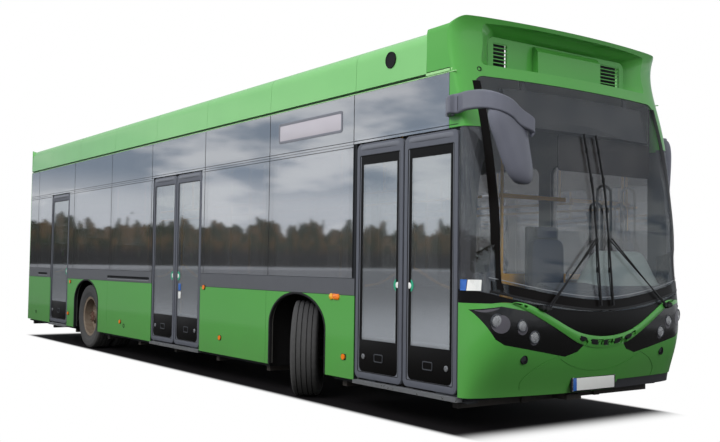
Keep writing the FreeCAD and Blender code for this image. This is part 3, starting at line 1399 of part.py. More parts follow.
def make_grab_rails():
    """Yellow poles from floor to roof and ceiling rails, clear of the rear door's leaf."""
    top = S.gutter
    from_floor = top - S.floor_top
    lap = S.rail_radius - RAIL_LAP
    parts = []
    for side, start, hangers, poles in CEILING_RAILS:
        y = side * 560
        rail = rod("x", (REAR + start, y, CEILING_RAIL_HEIGHT), 9900 - start, S.rail_radius)
        foot = CEILING_RAIL_HEIGHT + lap
        above = [rod("z", (REAR + x, y, foot), top - foot, S.rail_radius)
                 for x in hangers + poles]
        below = [rod("z", (REAR + x, y, S.floor_top), CEILING_RAIL_HEIGHT - lap - S.floor_top,
                     S.rail_radius) for x in poles]
        parts.append(rail)
        parts += [cut(piece, rail) for piece in above + below]
    for x, y in POLES:
        parts.append(rod("z", (REAR + x, y, S.floor_top), from_floor, S.rail_radius))
    frame_x = FRONT - 1560
    cab = fuse(block((frame_x, frame_x + 40), (300, FRAME_IN), (S.floor_top, 1250)),
               rod("z", (frame_x + 20, 320, S.floor_top), from_floor, S.rail_radius),
               block((frame_x, frame_x + 40), (300, FRAME_IN), (2000, 2040)))
    node("grab_rails", group(*parts, cab))


def make_signs():
    """Blank line signs behind the glass at the front, side and rear."""
    front = both_of(block((FRONT - 420, FRONT - 262), (-810, 980), (2465, 2780)),
                    feature(hull(S.frame_depth + 2)))
    hangers = [block((FRONT - 400, FRONT - 370), (y, y + 40), (2770, S.gutter))
               for y in (-600, 700)]
    side = block((REAR + 8850, REAR + 10020), (-FRAME_IN, -FRAME_IN + 60), (2560, 2760))
    node("destination_signs", group(fuse(front, *hangers), side))


def build():
    make_underframe()
    make_floor()
    make_power_unit()
    make_sides()
    make_saloon_glass()
    make_roof()
    make_roof_fairings()
    make_roof_scoop()
    make_roof_units()
    make_front()
    make_wipers()
    make_mirrors()
    make_rear()
    make_front_wheels()
    make_tie_rod()
    make_axles()
    make_rear_wheels()
    make_suspension()
    make_doors()
    make_sills()
    make_cab()
    make_seats()
    make_grab_rails()
    make_signs()


def write_out():
    doc.recompute()
    bad = [f"{obj.Label} {obj.State}" for obj in doc.Objects
           if "Invalid" in obj.State or "Error" in obj.State]
    bad += [name for name, obj in nodes.items() if obj.Shape.isNull() or not obj.Shape.isValid()]
    if bad:
        raise RuntimeError("failed: " + "; ".join(bad))
    os.makedirs("parts", exist_ok=True)
    for name, obj in nodes.items():
        obj.Shape.exportStep(f"parts/{name}.step")
        print(name, len(obj.Shape.Solids), round(obj.Shape.Volume / 1e6, 1))


build()
write_out()
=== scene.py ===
"""Looks of a low-floor city bus: paint, glass, doors, lamps, tyres and interior.

Metres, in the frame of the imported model: +X to the front, +Y to the left side, +Z up.
"""
import json
import math

import bmesh
import bpy
from mathutils import Matrix, Vector
from mathutils.bvhtree import BVHTree


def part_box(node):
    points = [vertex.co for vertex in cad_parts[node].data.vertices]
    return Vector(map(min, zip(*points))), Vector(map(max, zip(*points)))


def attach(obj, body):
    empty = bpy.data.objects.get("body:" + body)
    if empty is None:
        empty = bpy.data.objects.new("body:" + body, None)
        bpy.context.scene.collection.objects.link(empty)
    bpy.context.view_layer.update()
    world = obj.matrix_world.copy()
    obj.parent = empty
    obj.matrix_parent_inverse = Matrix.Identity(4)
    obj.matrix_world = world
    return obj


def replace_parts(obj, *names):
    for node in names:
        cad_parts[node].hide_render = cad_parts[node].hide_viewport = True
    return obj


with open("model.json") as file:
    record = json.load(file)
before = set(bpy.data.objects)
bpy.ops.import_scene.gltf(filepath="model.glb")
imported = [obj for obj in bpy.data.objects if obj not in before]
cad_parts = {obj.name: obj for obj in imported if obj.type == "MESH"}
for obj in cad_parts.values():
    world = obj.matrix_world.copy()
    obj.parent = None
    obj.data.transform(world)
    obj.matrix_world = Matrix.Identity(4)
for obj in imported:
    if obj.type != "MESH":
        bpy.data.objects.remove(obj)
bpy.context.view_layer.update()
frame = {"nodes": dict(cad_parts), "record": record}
NODES = frame["nodes"]

SIDE = -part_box("skirts")[0].y
FRONT_NODES = ("front_bumper", "front_apron", "front_glass", "front_header", "headlamps")


# Camera, light and stage

PHOTO_WIDTH, FOCAL_PIXELS, SENSOR = 720, 930.77, 36.0
YAW, PITCH, ROLL = 0.952012, 0.046715, 0.013424
CAMERA_REACH = 500
CAMERA_PLACE = Vector((10.995, -6.130, 1.320))


def make_camera():
    ahead = Vector((-math.sin(YAW) * math.cos(PITCH), math.cos(YAW) * math.cos(PITCH),
                    math.sin(PITCH)))
    level = Vector((math.cos(YAW), math.sin(YAW), 0))
    upright = level.cross(ahead)
    across = level * math.cos(ROLL) + upright * math.sin(ROLL)
    up = upright * math.cos(ROLL) - level * math.sin(ROLL)
    data = bpy.data.cameras.new("photo_camera")
    data.sensor_width = SENSOR
    data.lens = SENSOR * FOCAL_PIXELS / PHOTO_WIDTH
    data.clip_end = CAMERA_REACH
    camera = bpy.data.objects.new("photo_camera", data)
    turn = Matrix((across, up, -ahead)).transposed().to_4x4()
    camera.matrix_world = Matrix.Translation(CAMERA_PLACE) @ turn
    bpy.context.scene.collection.objects.link(camera)
    bpy.context.scene.camera = camera


class Tree:
    """Adds nodes to a node tree and links them; three numbers on a colour are a colour."""

    def __init__(self, tree):
        self.nodes, self.links = tree.nodes, tree.links

    def add(self, kind, **inputs):
        made = self.nodes.new("ShaderNode" + kind)
        for key, value in inputs.items():
            self.feed(made.inputs[key.replace("_", " ")], value)
        return made

    def feed(self, socket, value):
        if isinstance(value, bpy.types.NodeSocket):
            self.links.new(value, socket)
        elif isinstance(value, tuple) and len(value) == 3 and socket.type == "RGBA":
            socket.default_value = (*value, 1)
        else:
            socket.default_value = value

    def math(self, operation, first, second=0.0, third=0.0):
        made = self.nodes.new("ShaderNodeMath")
        made.operation = operation
        for socket, value in zip(made.inputs, (first, second, third)):
            self.feed(socket, value)
        return made.outputs[0]

    def span(self, value, low, high, to_low=0.0, to_high=1.0, smooth=False):
        made = self.nodes.new("ShaderNodeMapRange")
        made.interpolation_type = "SMOOTHSTEP" if smooth else "LINEAR"
        for key, number in (("Value", value), ("From Min", low), ("From Max", high),
                            ("To Min", to_low), ("To Max", to_high)):
            self.feed(made.inputs[key], number)
        return made.outputs["Result"]

    def mix(self, factor, first, second, kind="MIX"):
        made = self.nodes.new("ShaderNodeMix")
        made.data_type = "RGBA"
        made.blend_type = kind
        self.feed(made.inputs["Factor"], factor)
        self.feed(made.inputs["A"], first)
        self.feed(made.inputs["B"], second)
        return made.outputs["Result"]

    def noise(self, place, scale, detail=4.0, stretch=(1, 1, 1)):
        mapping = self.add("Mapping", Vector=place)
        mapping.inputs["Scale"].default_value = stretch
        made = self.add("TexNoise", Vector=mapping.outputs["Vector"], Scale=scale, Detail=detail)
        return made.outputs["Fac"]

    def blend(self, factor, first, second):
        """Mix of two shaders."""
        made = self.add("MixShader", Fac=factor)
        self.links.new(first.outputs[0], made.inputs[1])
        self.links.new(second.outputs[0], made.inputs[2])
        return made


SKY_PALE, SKY_DEEP, SKY_HIGH = (0.90, 0.92, 0.94), (0.32, 0.39, 0.48), (0.44, 0.44, 0.48)
TREES, TREES_BROWN, TREES_LOW = (0.022, 0.030, 0.014), (0.095, 0.062, 0.028), (0.014,) * 3
GROUND = (0.34, 0.35, 0.37)
DAYLIGHT_LOW, WHITE, DAYLIGHT = (0.66, 0.69, 0.72), (1.0, 1.0, 1.0), 0.62
HORIZON, CROWN_LOW, CROWN_HIGH = -0.004, 0.028, 0.052


def make_world():
    """White to the camera, soft daylight on the object, and a wooded horizon in the glass."""
    scene = bpy.context.scene
    scene.view_settings.view_transform = "Standard"
    world = bpy.data.worlds.new("studio")
    scene.world = world
    world.use_nodes = True
    world.node_tree.nodes.clear()
    tree = Tree(world.node_tree)
    place = tree.add("TexCoord").outputs["Generated"]
    split = tree.add("SeparateXYZ", Vector=place)
    height, right = split.outputs["Z"], split.outputs["Y"]
    soft = tree.mix(tree.span(height, 0.0, 0.75), DAYLIGHT_LOW, WHITE)
    cloud = tree.span(tree.noise(place, 7.5, 6.0, (1, 1, 3.2)), 0.40, 0.58, smooth=True)
    cloud = tree.math("MAXIMUM", cloud, tree.span(height, 0.10, 0.06, 0.0, 0.75, True))
    haze = tree.span(height, 0.14, 0.30, 0.0, 0.8, True)
    sky = tree.mix(haze, tree.mix(cloud, SKY_DEEP, SKY_PALE), SKY_HIGH)
    outline = tree.noise(place, 110.0, 9.0, (1, 1, 0.3))
    wooded = tree.math("LESS_THAN", height, tree.span(outline, 0.3, 0.7, CROWN_LOW, CROWN_HIGH))
    wooded = tree.math("MULTIPLY", wooded, tree.math("LESS_THAN", right, 0.0))
    leaves = tree.span(tree.noise(place, 150.0, 6.0, (1, 1, 0.5)), 0.42, 0.60, smooth=True)
    wood = tree.mix(tree.span(height, 0.006, 0.022, smooth=True), TREES_LOW,
                    tree.mix(leaves, TREES, TREES_BROWN))
    below = tree.math("LESS_THAN", height, HORIZON)
    seen = tree.mix(below, tree.mix(wooded, sky, wood), GROUND)
    rays = tree.add("LightPath")
    gloss = tree.blend(rays.outputs["Is Glossy Ray"],
                       tree.add("Background", Color=soft, Strength=DAYLIGHT),
                       tree.add("Background", Color=seen, Strength=1.0))
    final = tree.blend(rays.outputs["Is Camera Ray"], gloss,
                       tree.add("Background", Color=WHITE, Strength=1.0))
    tree.add("OutputWorld", Surface=final.outputs[0])


def area_light(name, place, target, size, power):
    data = bpy.data.lights.new(name, "AREA")
    data.shape = "RECTANGLE"
    data.size, data.size_y = size
    data.energy = power
    light = bpy.data.objects.new(name, data)
    light.location = place
    light.visible_glossy = False
    light.rotation_euler = (Vector(target) - Vector(place)).to_track_quat("-Z", "Y").to_euler()
    bpy.context.scene.collection.objects.link(light)


LIGHTS = (("key", (6, -16, 12), (0, 0, 1.4), (14, 8), 3100),
          ("front_fill", (20, 2, 7), (4, 0, 1.4), (8, 6), 700),
          ("overhead", (-4, 6, 14), (0, 0, 0), (12, 8), 1500),
          ("far_side", (-4, 16, 8), (0, 0, 1.4), (14, 6), 600))


def make_lights():
    for light in LIGHTS:
        area_light(*light)


FLOOR_REACH, FLOOR_DROP = 150, 0.0005
SHADOW_HALF, SHADOW_SHIFT, SHADOW_SHARP = (5.52, 1.20), (-0.12, -0.03), (1.0, 4.0)
SHADOW_FADE, WHITE_START, WHITE_END = 0.60, 0.03, 0.50
SHADOW_TONE, FLOOR_TONE = (0.012, 0.011, 0.012), (0.9, 0.9, 0.9)
NEAR_ROAD, FAR_ROAD, ROAD_EDGE = (0.055, 0.054, 0.052), (0.36, 0.37, 0.39), (17.0, 21.0)


def away_from_shadow(tree):
    """Distance outside the painted shadow's rectangle, in the floor's own places."""
    split = tree.add("SeparateXYZ", Vector=tree.add("TexCoord").outputs["Object"])
    squares = []
    for axis, half, shift, sharp in zip("XY", SHADOW_HALF, SHADOW_SHIFT, SHADOW_SHARP):
        off = tree.math("ABSOLUTE", tree.math("SUBTRACT", split.outputs[axis], shift))
        past = tree.math("MAXIMUM", tree.math("SUBTRACT", off, half), 0.0)
        squares.append(tree.math("POWER", tree.math("MULTIPLY", past, sharp), 2.0))
    return tree.math("SQRT", tree.math("ADD", *squares))


def make_floor():
    """Floor with a painted shadow that shows dark under the object, plain white beyond, and a road in
    the glass.
    """
    mesh = bpy.data.meshes.new("studio_floor")
    reach = FLOOR_REACH
    mesh.from_pydata([(-reach, -reach, 0), (reach, -reach, 0), (reach, reach, 0),
                      (-reach, reach, 0)], [], [(0, 1, 2, 3)])
    floor = bpy.data.objects.new("studio_floor", mesh)
    floor.location.z = -FLOOR_DROP
    bpy.context.scene.collection.objects.link(floor)
    mat = bpy.data.materials.new("studio_floor")
    mat.use_nodes = True
    tree = Tree(mat.node_tree)
    shader = tree.nodes["Principled BSDF"]
    away = away_from_shadow(tree)
    direct = tree.add("LightPath").outputs["Is Camera Ray"]
    shade = tree.span(away, 0.0, SHADOW_FADE, smooth=True)
    road = tree.mix(tree.span(away, *ROAD_EDGE), NEAR_ROAD, FAR_ROAD)
    # Painted shadow: the base colour runs from SHADOW_TONE under the object to FLOOR_TONE around it.
    seen = tree.mix(shade, SHADOW_TONE, FLOOR_TONE)
    tree.feed(shader.inputs["Base Color"], tree.mix(direct, road, seen))
    shader.inputs["Roughness"].default_value = 0.8
    shader.inputs["Specular IOR Level"].default_value = 0.1
    white = tree.add("Emission", Color=WHITE, Strength=1.0)
    fade = tree.span(away, WHITE_START, WHITE_END, smooth=True)
    final = tree.blend(tree.math("MULTIPLY", fade, direct), shader, white)
    tree.links.new(final.outputs[0], tree.nodes["Material Output"].inputs["Surface"])
    mesh.materials.append(mat)


# Materials

def colour(code):
    """Linear colour from an sRGB hex code."""
    parts = [int(code[i:i + 2], 16) / 255 for i in (0, 2, 4)]
    return tuple(p / 12.92 if p <= 0.04045 else ((p + 0.055) / 1.055) ** 2.4 for p in parts)


class Finish(Tree):
    """A node material built up from a Principled shader; its base is a hex code or a linear colour."""

    def __init__(self, name, code, roughness=0.5, metallic=0.0, coat=0.0, alpha=1.0, ior=1.5):
        self.mat = bpy.data.materials.new(name)
        self.mat.use_nodes = True
        super().__init__(self.mat.node_tree)
        self.shader = self.nodes["Principled BSDF"]
        self.base = colour(code) if isinstance(code, str) else code
        for key, value in (("Base Color", self.base), ("Roughness", roughness),
                           ("Metallic", metallic), ("Coat Weight", coat),
                           ("Coat Roughness", 0.04), ("Alpha", alpha), ("IOR", ior)):
            self.feed(self.shader.inputs[key], value)
        self.place = self.add("TexCoord").outputs["Object"]

    def grain(self, scale, detail=4.0, stretch=(1, 1, 1)):
        return self.noise(self.place, scale, detail, stretch)

    def tint(self, source):
        self.feed(self.shader.inputs["Base Color"], source)
        return self

    def vary(self, scale, amount, other=None):
        """Slight uneven tone over the surface."""
        fresh = tuple(min(1, c * (1 + amount * 0.5)) for c in self.base)
        worn = colour(other) if other else tuple(c * (1 - amount) for c in self.base)
        return self.tint(self.mix(self.grain(scale), fresh, worn))

    def road_film(self, reach=0.75, dust=(0.12, 0.105, 0.085), amount=0.35):
        """Dust that gathers towards the road."""
        height = self.add("SeparateXYZ", Vector=self.place).outputs["Z"]
        near = self.span(height, 0.25, reach, amount, 0.0)
        source = self.shader.inputs["Base Color"].links[0].from_socket
        return self.tint(self.mix(self.math("MULTIPLY", near, self.grain(2.2, 6)), source, dust))

    def rough(self, low, high, scale=14.0):
        self.feed(self.shader.inputs["Roughness"],
                  self.span(self.grain(scale), 0.3, 0.7, low, high))
        return self

    def bump(self, scale, strength, stretch=(1, 1, 1)):
        node = self.add("Bump", Strength=strength, Distance=0.001,
                        Height=self.grain(scale, 3.0, stretch))
        self.feed(self.shader.inputs["Normal"], node.outputs["Normal"])
        return self

    def glow(self, shade, strength):
        self.feed(self.shader.inputs["Emission Color"], shade)
        self.feed(self.shader.inputs["Emission Strength"], strength)
        return self


# The second green is a paler copy of the leaf green, painted as highlight on the roof fairings.
LEAF, LEAF_PAINTED_HIGHLIGHT, AMBER, YELLOW_AMBER = "50A044", "7CC074", "E8780E", "E9A325"
LINING, LINING_DARK, LINING_PALE, BEHIND_GLASS = "A9ABA8", "8C8E8C", "9A9C99", "202225"
BEHIND_GLASS_DEPTH = 0.045
CHROME = (0.82, 0.82, 0.8)
PAINT = dict(roughness=0.36, coat=0.45)
GLASS = dict(metallic=0.93)
CHASSIS_DUST, TYRE_DUST = (0.14, 0.12, 0.10), (0.16, 0.15, 0.13)


def wall_finish():
    """Dark outside, where it backs the glass, and pale lining inside."""
    made = Finish("wall_lining", LINING, 0.6)
    across = made.add("SeparateXYZ", Vector=made.place).outputs["Y"]
    outside = made.math("GREATER_THAN", made.math("ABSOLUTE", across),
                        SIDE - BEHIND_GLASS_DEPTH)
    lining = made.mix(made.grain(30.0), colour(LINING_DARK), colour(LINING_PALE))
    return made.tint(made.mix(outside, lining, colour(BEHIND_GLASS))).bump(260, 0.15)


def body_finishes():
    return {
        "green": Finish("leaf_green_paint", LEAF, **PAINT).vary(0.9, 0.07).road_film()
        .bump(140, 0.035),
        "green_top": Finish("leaf_green_roof", LEAF, **PAINT).vary(1.2, 0.08).bump(140, 0.03),
        # Painted highlight: the roof fairings get a paler copy of the leaf green in place of the sky's
        # light on them.
        "green_high_painted_highlight": Finish("leaf_green_fairing_painted_highlight", LEAF_PAINTED_HIGHLIGHT, **PAINT).vary(1.6, 0.1)
        .bump(140, 0.03),
        # Painted highlight: a paler copy of the leaf green on the gutter lips and roof front edges, in
        # place of the light they catch.
        "lip_painted_highlight": Finish("gutter_lip", "9BD08C", 0.4, coat=0.5).vary(8.0, 0.08),
        # Painted shade: the drip channel's dark green stands in for the shade under the roof cheek.
        "gutter": Finish("gutter_painted_shade", "1E4A1C", 0.6).vary(8.0, 0.2),
        "trim": Finish("slate_trim", "54565B", 0.42, coat=0.3).vary(6.0, 0.1).road_film()
        .bump(300, 0.08),
        "black": Finish("gloss_black_panel", "0C0B0B", 0.3, ior=1.25).vary(3.0, 0.2)
        .bump(120, 0.02),
        "chassis": Finish("chassis_paint", "1D1D1F", 0.75).vary(9.0, 0.3)
        .road_film(1.0, CHASSIS_DUST, 0.6).bump(90, 0.3),
        "frame": Finish("frame_primer", "3B3C40", 0.6).vary(5.0, 0.15).bump(200, 0.1),
        "wall": wall_finish(),
        "housing": Finish("arch_lining", "161617", 0.85).vary(7.0, 0.3).bump(60, 0.4),
        "floor": Finish("floor_covering", "2E3032", 0.8).vary(220.0, 0.5).bump(400, 0.2),
        "roof": Finish("roof_paint", "C9C9C4", 0.5).vary(2.0, 0.1).bump(160, 0.05),
        "unit": Finish("roof_unit_cover", "7B7D80", 0.6).vary(3.0, 0.12).bump(220, 0.15),
        "door": Finish("door_frame_paint", "666971", 0.34, coat=0.4).vary(5.0, 0.08)
        .bump(260, 0.08),
        "mirror_shell": Finish("mirror_moulding", "666873", 0.42, coat=0.2).vary(8.0, 0.1)
        .bump(520, 0.2),
        "blue": Finish("plain_blue", "2A62B4", 0.4, coat=0.5).vary(20.0, 0.06),
        "white": Finish("plain_white", "E6E7E4", 0.4, coat=0.5).vary(20.0, 0.04),
        "sign": Finish("sign_face", "B7B2B9", 0.3, coat=0.4).vary(3.0, 0.08),
        "sign_frame": Finish("sign_frame_grey", "6E7078", 0.4, coat=0.3).vary(9.0, 0.08),
        "disc_green": Finish("disc_green", "1F9E78", 0.4, coat=0.5).vary(30.0, 0.08),
        # Painted shade: near-black backs that stand in for the dark inside the scoop's air openings.
        "vent_painted_shade": Finish("vent_painted_shade", "060606", 0.9).vary(30.0, 0.2),
        "grille": Finish("grille_black", "101112", 0.6).vary(30.0, 0.3).bump(200, 0.3),
    }


def glass_and_lamp_finishes():
    return {
        "side_glass": Finish("tinted_glazing", "D2D4D8", 0.03, alpha=0.76, **GLASS)
        .vary(0.7, 0.1),
        "front_glass": Finish("windscreen_glazing", "C4CACC", 0.02, alpha=0.085, **GLASS)
        .vary(0.7, 0.1),
        "door_glass": Finish("door_glazing", "D2D6D9", 0.03, alpha=0.62, **GLASS)
        .vary(0.7, 0.1),
        "frit": Finish("frit_black", "100E0D", 0.35, ior=1.2).vary(40.0, 0.2),
        "line": Finish("sealant_black", "101011", 0.5).vary(40.0, 0.2),
        "pale_line": Finish("pale_line", "8E9296", 0.5).vary(60.0, 0.1),
        "lamp_shell": Finish("lamp_housing", "0A0A0B", 0.22, coat=0.2).vary(8.0, 0.3),
        "crescent": Finish("lamp_crescent", "55535A", 0.4, coat=0.2).vary(60.0, 0.1),
        "clear_lens": Finish("clear_lens", "D9DDE0", 0.06, coat=1.0, alpha=0.35)
        .vary(40.0, 0.1),
        "chrome": Finish("reflector_chrome", CHROME, 0.08, metallic=1.0)
        .rough(0.05, 0.14, 60.0),
        "lamp_glow": Finish("lamp_bulb", "F4F2E8", 0.2, coat=1.0).vary(30.0, 0.05)
        .glow((1.0, 0.97, 0.9), 0.6),
        "amber": Finish("amber_lens", AMBER, 0.15, coat=1.0).vary(40.0, 0.15)
        .glow(colour(AMBER), 0.15),
        "yellow_lens": Finish("yellow_lens", YELLOW_AMBER, 0.15, coat=1.0).vary(40.0, 0.15)
        .glow(colour(YELLOW_AMBER), 0.12),
    }


def inside_and_running_gear_finishes():
    return {
        "rubber": Finish("edge_rubber", "1E1F21", 0.6).vary(30.0, 0.2).bump(380, 0.25),
        "seal": Finish("leaf_seal", "585B64", 0.45, coat=0.1).vary(20.0, 0.12)
        .bump(380, 0.15),
        "soft": Finish("soft_plastic", "151516", 0.55).vary(20.0, 0.2).bump(420, 0.3),
        "dash": Finish("dash_moulding", "45484D", 0.7).vary(12.0, 0.1).bump(500, 0.35),
        "hump": Finish("dash_hump", "7A8584", 0.75).vary(9.0, 0.1).bump(420, 0.3),
        "visor": Finish("cab_dark_brown", "1C1411", 0.7).vary(8.0, 0.2).bump(260, 0.2),
        "rail": Finish("rail_yellow", "E0A51B", 0.35, coat=0.5).vary(10.0, 0.08)
        .bump(300, 0.06),
        "cloth": Finish("seat_cloth", "232B45", 0.95).vary(90.0, 0.35).bump(900, 0.6),
        "shell": Finish("seat_shell", "3D4046", 0.5, coat=0.2).vary(9.0, 0.1)
        .bump(400, 0.12),
        "wiper": Finish("wiper_paint", "111112", 0.45).vary(20.0, 0.2).bump(300, 0.1),
        "steel": Finish("wheel_steel", "8F8578", 0.62, metallic=0.25)
        .vary(18.0, 0.3, "6E5A48").rough(0.45, 0.8, 20.0).bump(120, 0.25),
        "hub": Finish("hub_paint", "6D4A3C", 0.7, metallic=0.2).vary(25.0, 0.4, "4A3A30")
        .bump(150, 0.3),
        "aluminium": Finish("step_aluminium", "B9BBBD", 0.32, metallic=0.9)
        .vary(30.0, 0.1).rough(0.25, 0.5, 40.0).bump(90, 0.15, (1, 12, 1)),
        "post": Finish("post_steel", "5E6166", 0.4, metallic=0.7).vary(20.0, 0.1),
        "bellows": Finish("bellows_rubber", "1A1A1B", 0.8).vary(20.0, 0.2)
        .bump(60, 0.5, (0.2, 0.2, 6)),
        "tyre": Finish("tyre_rubber", "484849", 0.8).vary(26.0, 0.25)
        .road_film(0.9, TYRE_DUST, 0.25).bump(240, 0.35),
    }


MAT = {key: made.mat for group in (body_finishes(), glass_and_lamp_finishes(),
                                   inside_and_running_gear_finishes())
       for key, made in group.items()}

FINISHED_NODES = {
    "amber": "lamps", "black": "front_apron", "dash": "dashboard", "floor": "floor",
    "chassis": "underframe front_axle rear_axle knuckle_right knuckle_left tie_rod",
    "aluminium": "door_sills", "bellows": "suspension", "cloth": "driver_seat seats",
    "frame": "front_frame", "front_glass": "front_glass", "side_glass": "saloon_glass",
    "green": "skirts front_bumper rear_wall rear_lid", "green_high_painted_highlight": "roof_fairings",
    "green_top": "roof_scoop front_header", "housing": "wheel_housings",
    "lamp_shell": "headlamps", "mirror_shell": "mirrors", "rail": "grab_rails",
    "roof": "roof", "soft": "steering_wheel destination_signs", "trim": "waist_rails",
    "unit": "roof_units power_unit", "wall": "wall_right wall_left", "wiper": "wipers",
}
NODE_FINISH = {node: key for key, nodes in FINISHED_NODES.items() for node in nodes.split()}
STARTS = {"wheel": "steel", "tyre": "tyre"}
ENDS = {"_glass": "door_glass", "_arm": "post"}


def finish_of(name):
    """Finish of a node: its own, or that of its kind, or the door frames'."""
    kinds = [key for start, key in STARTS.items() if name.startswith(start)]
    kinds += [key for end, key in ENDS.items() if name.endswith(end)]
    return NODE_FINISH.get(name, kinds[0] if kinds else "door")


def dress_nodes():
    for name, obj in NODES.items():
        obj.data.materials.clear()
        obj.data.materials.append(MAT[finish_of(name)])


# Making shapes

LENGTH = 12.0
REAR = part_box("rear_wall")[0].x
FRONT = REAR + LENGTH
SIDES = ((-1, "right"), (1, "left"))


def circle(count, turn=0.0):
    """Cosine and sine at evenly spaced angles."""
    angles = [math.tau * (k + turn) / count for k in range(count)]
    return [(math.cos(angle), math.sin(angle)) for angle in angles]


def spokes(axis, count, turn=0.0):
    """Evenly spaced unit vectors square to an axis."""
    first = axis.orthogonal().normalized()
    second = axis.cross(first)
    return [first * right + second * up for right, up in circle(count, turn)]


class Form:
    """A mesh under construction, made of rings, boxes, tubes and turned outlines."""

    def __init__(self):
        self.bm = bmesh.new()

    def rings(self, rings, closed=True, caps=True, around=False):
        """Skin over rings of equal length; around joins the last ring to the first."""
        rows = [[self.bm.verts.new(p) for p in ring] for ring in rings]
        count = len(rows[0])
        steps = count if closed else count - 1
        pairs = list(zip(rows[:-1], rows[1:]))
        if around:
            pairs.append((rows[-1], rows[0]))
        for one, two in pairs:
            for i in range(steps):
                j = (i + 1) % count
                self.bm.faces.new((one[i], one[j], two[j], two[i]))
        if caps and closed and not around:
            self.bm.faces.new(rows[0][::-1])
            self.bm.faces.new(rows[-1])
        return self

    def box(self, low, high, bevel=0.0, turn=None):
        made = bmesh.ops.create_cube(self.bm, size=1.0)["verts"]
        low, high = Vector(low), Vector(high)
        centre, size = (low + high) / 2, high - low
        for vert in made:
            vert.co = Vector(a * b for a, b in zip(vert.co, size))
        if bevel:
            edges = list(dict.fromkeys(edge for vert in made for edge in vert.link_edges))
            made = bmesh.ops.bevel(self.bm, geom=edges, offset=bevel, segments=3, profile=0.5,
                                   affect="EDGES")["verts"]
        for vert in made:
            vert.co = (turn @ vert.co if turn else vert.co) + centre
        return self

    def turned(self, profile, centre, axis, steps=32):
        """A (distance along, radius) outline turned about an axis."""
        axis = Vector(axis).normalized()
        rings = [[Vector(centre) + axis * along + out * radius for along, radius in profile]
                 for out in spokes(axis, steps)]
        return self.rings(rings, closed=False, caps=False, around=True)

    def tube(self, points, radius, steps=10, loop=False, flat=1.0):
        """Round or flattened rod along the points, in a loop if asked."""
        points = [Vector(p) for p in points]
        count = len(points)
        rings, across = [], None
        for i, point in enumerate(points):
            before = points[i - 1] if i or loop else point
            after = points[(i + 1) % count] if i < count - 1 or loop else point
            along = (after - before).normalized()
            if across is None:
                across = along.orthogonal().normalized()
            across = (across - along * across.dot(along)).normalized()
            other = along.cross(across) * flat
            rings.append([point + (across * right + other * up) * radius
                          for right, up in circle(steps)])
        return self.rings(rings, caps=not loop, around=loop)

    def band(self, outer, inner, thick):
        """Raised frame between two outlines of equal length; thick is its height vector."""
        rings = [[Vector(p).lerp(Vector(q), share) + Vector(thick) * lift
                  for p, q in zip(outer, inner)]
                 for share, lift in ((0, 0), (0, 0.7), (0.18, 1), (0.82, 1), (1, 0.7), (1, 0))]
        return self.rings(rings, caps=False, around=True)

    def piece(self, name, key, body="body", smooth=True, bevel=0.0, soften=0):
        """Make the mesh an object with a finish, riding a body."""
        bmesh.ops.recalc_face_normals(self.bm, faces=self.bm.faces[:])
        mesh = bpy.data.meshes.new(name)
        self.bm.to_mesh(mesh)
        self.bm.free()
        obj = bpy.data.objects.new(name, mesh)
        bpy.context.scene.collection.objects.link(obj)
        mesh.materials.append(MAT[key])
        if smooth:
            mesh.shade_smooth()
            mesh.set_sharp_from_angle(angle=math.radians(38))
        if bevel:
            edge = obj.modifiers.new("edges", "BEVEL")
            edge.width, edge.segments, edge.limit_method = bevel, 2, "ANGLE"
        if soften:
            rounder = obj.modifiers.new("rounder", "SUBSURF")
            rounder.levels = rounder.render_levels = soften
        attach(obj, body)
        return obj


def rounded_outline(low, high, radius, steps=6):
    """Points of a rounded rectangle in a plane, counter-clockwise."""
    (x0, z0), (x1, z1) = low, high
    corners = ((x1 - radius, z0 + radius, -90), (x1 - radius, z1 - radius, 0),
               (x0 + radius, z1 - radius, 90), (x0 + radius, z0 + radius, 180))
    points = []
    for x, z, start in corners:
        for i in range(steps + 1):
            angle = math.radians(start + 90 * i / steps)
            points.append((x + radius * math.cos(angle), z + radius * math.sin(angle)))
    return points


def on_side(points, y):
    return [Vector((x, y, z)) for x, z in points]


def side_outline(low, high, radius, y, steps=6):
    return on_side(rounded_outline(low, high, radius, steps), y)


def smooth_line(points, steps=6):
    """Catmull-Rom line through the points."""
    points = [Vector(p) for p in points]
    ends = [points[0] * 2 - points[1]] + points + [points[-1] * 2 - points[-2]]
    line = []
    for a, b, c, d in zip(ends, ends[1:], ends[2:], ends[3:]):
        for i in range(steps):
            t = i / steps
            line.append(0.5 * (2 * b + (c - a) * t + (2 * a - 5 * b + 4 * c - d) * t * t
                               + (3 * b - a - 3 * c + d) * t ** 3))
    return line + [points[-1]]


class Skin:
    """The outer surface of some nodes, met by rays."""

    def __init__(self, names):
        verts, faces = [], []
        for name in names:
            mesh = NODES[name].data
            base = len(verts)
            verts += [v.co.copy() for v in mesh.vertices]
            faces += [[base + i for i in poly.vertices] for poly in mesh.polygons]
        self.tree = BVHTree.FromPolygons(verts, faces)

    def meet(self, start, ray):
        """Spot and outward normal where a ray meets the surface, or two Nones."""
        spot, normal, _, _ = self.tree.ray_cast(Vector(start), Vector(ray))
        if spot is None:
            return None, None
        normal = normal if normal.dot(Vector(ray)) < 0 else -normal
        return spot, normal

    def front(self, y, z, lift=0.0):
        """Spot on the front, which is flat where no ray meets it, raised by lift."""
        spot, normal = self.meet((9, y, z), (-1, 0, 0))
        if spot is None:
            spot, normal = Vector((FRONT - 0.35, y, z)), Vector((1, 0, 0))
        return spot + normal * lift

    def right(self, x, z):
        """Spot and normal on the right side, which is flat where no ray meets it."""
        spot, normal = self.meet((x, -3, z), (0, 1, 0))
        if spot is None:
            return Vector((x, -SIDE, z)), Vector((0, -1, 0))
        return spot, normal


FACE = Skin(FRONT_NODES)


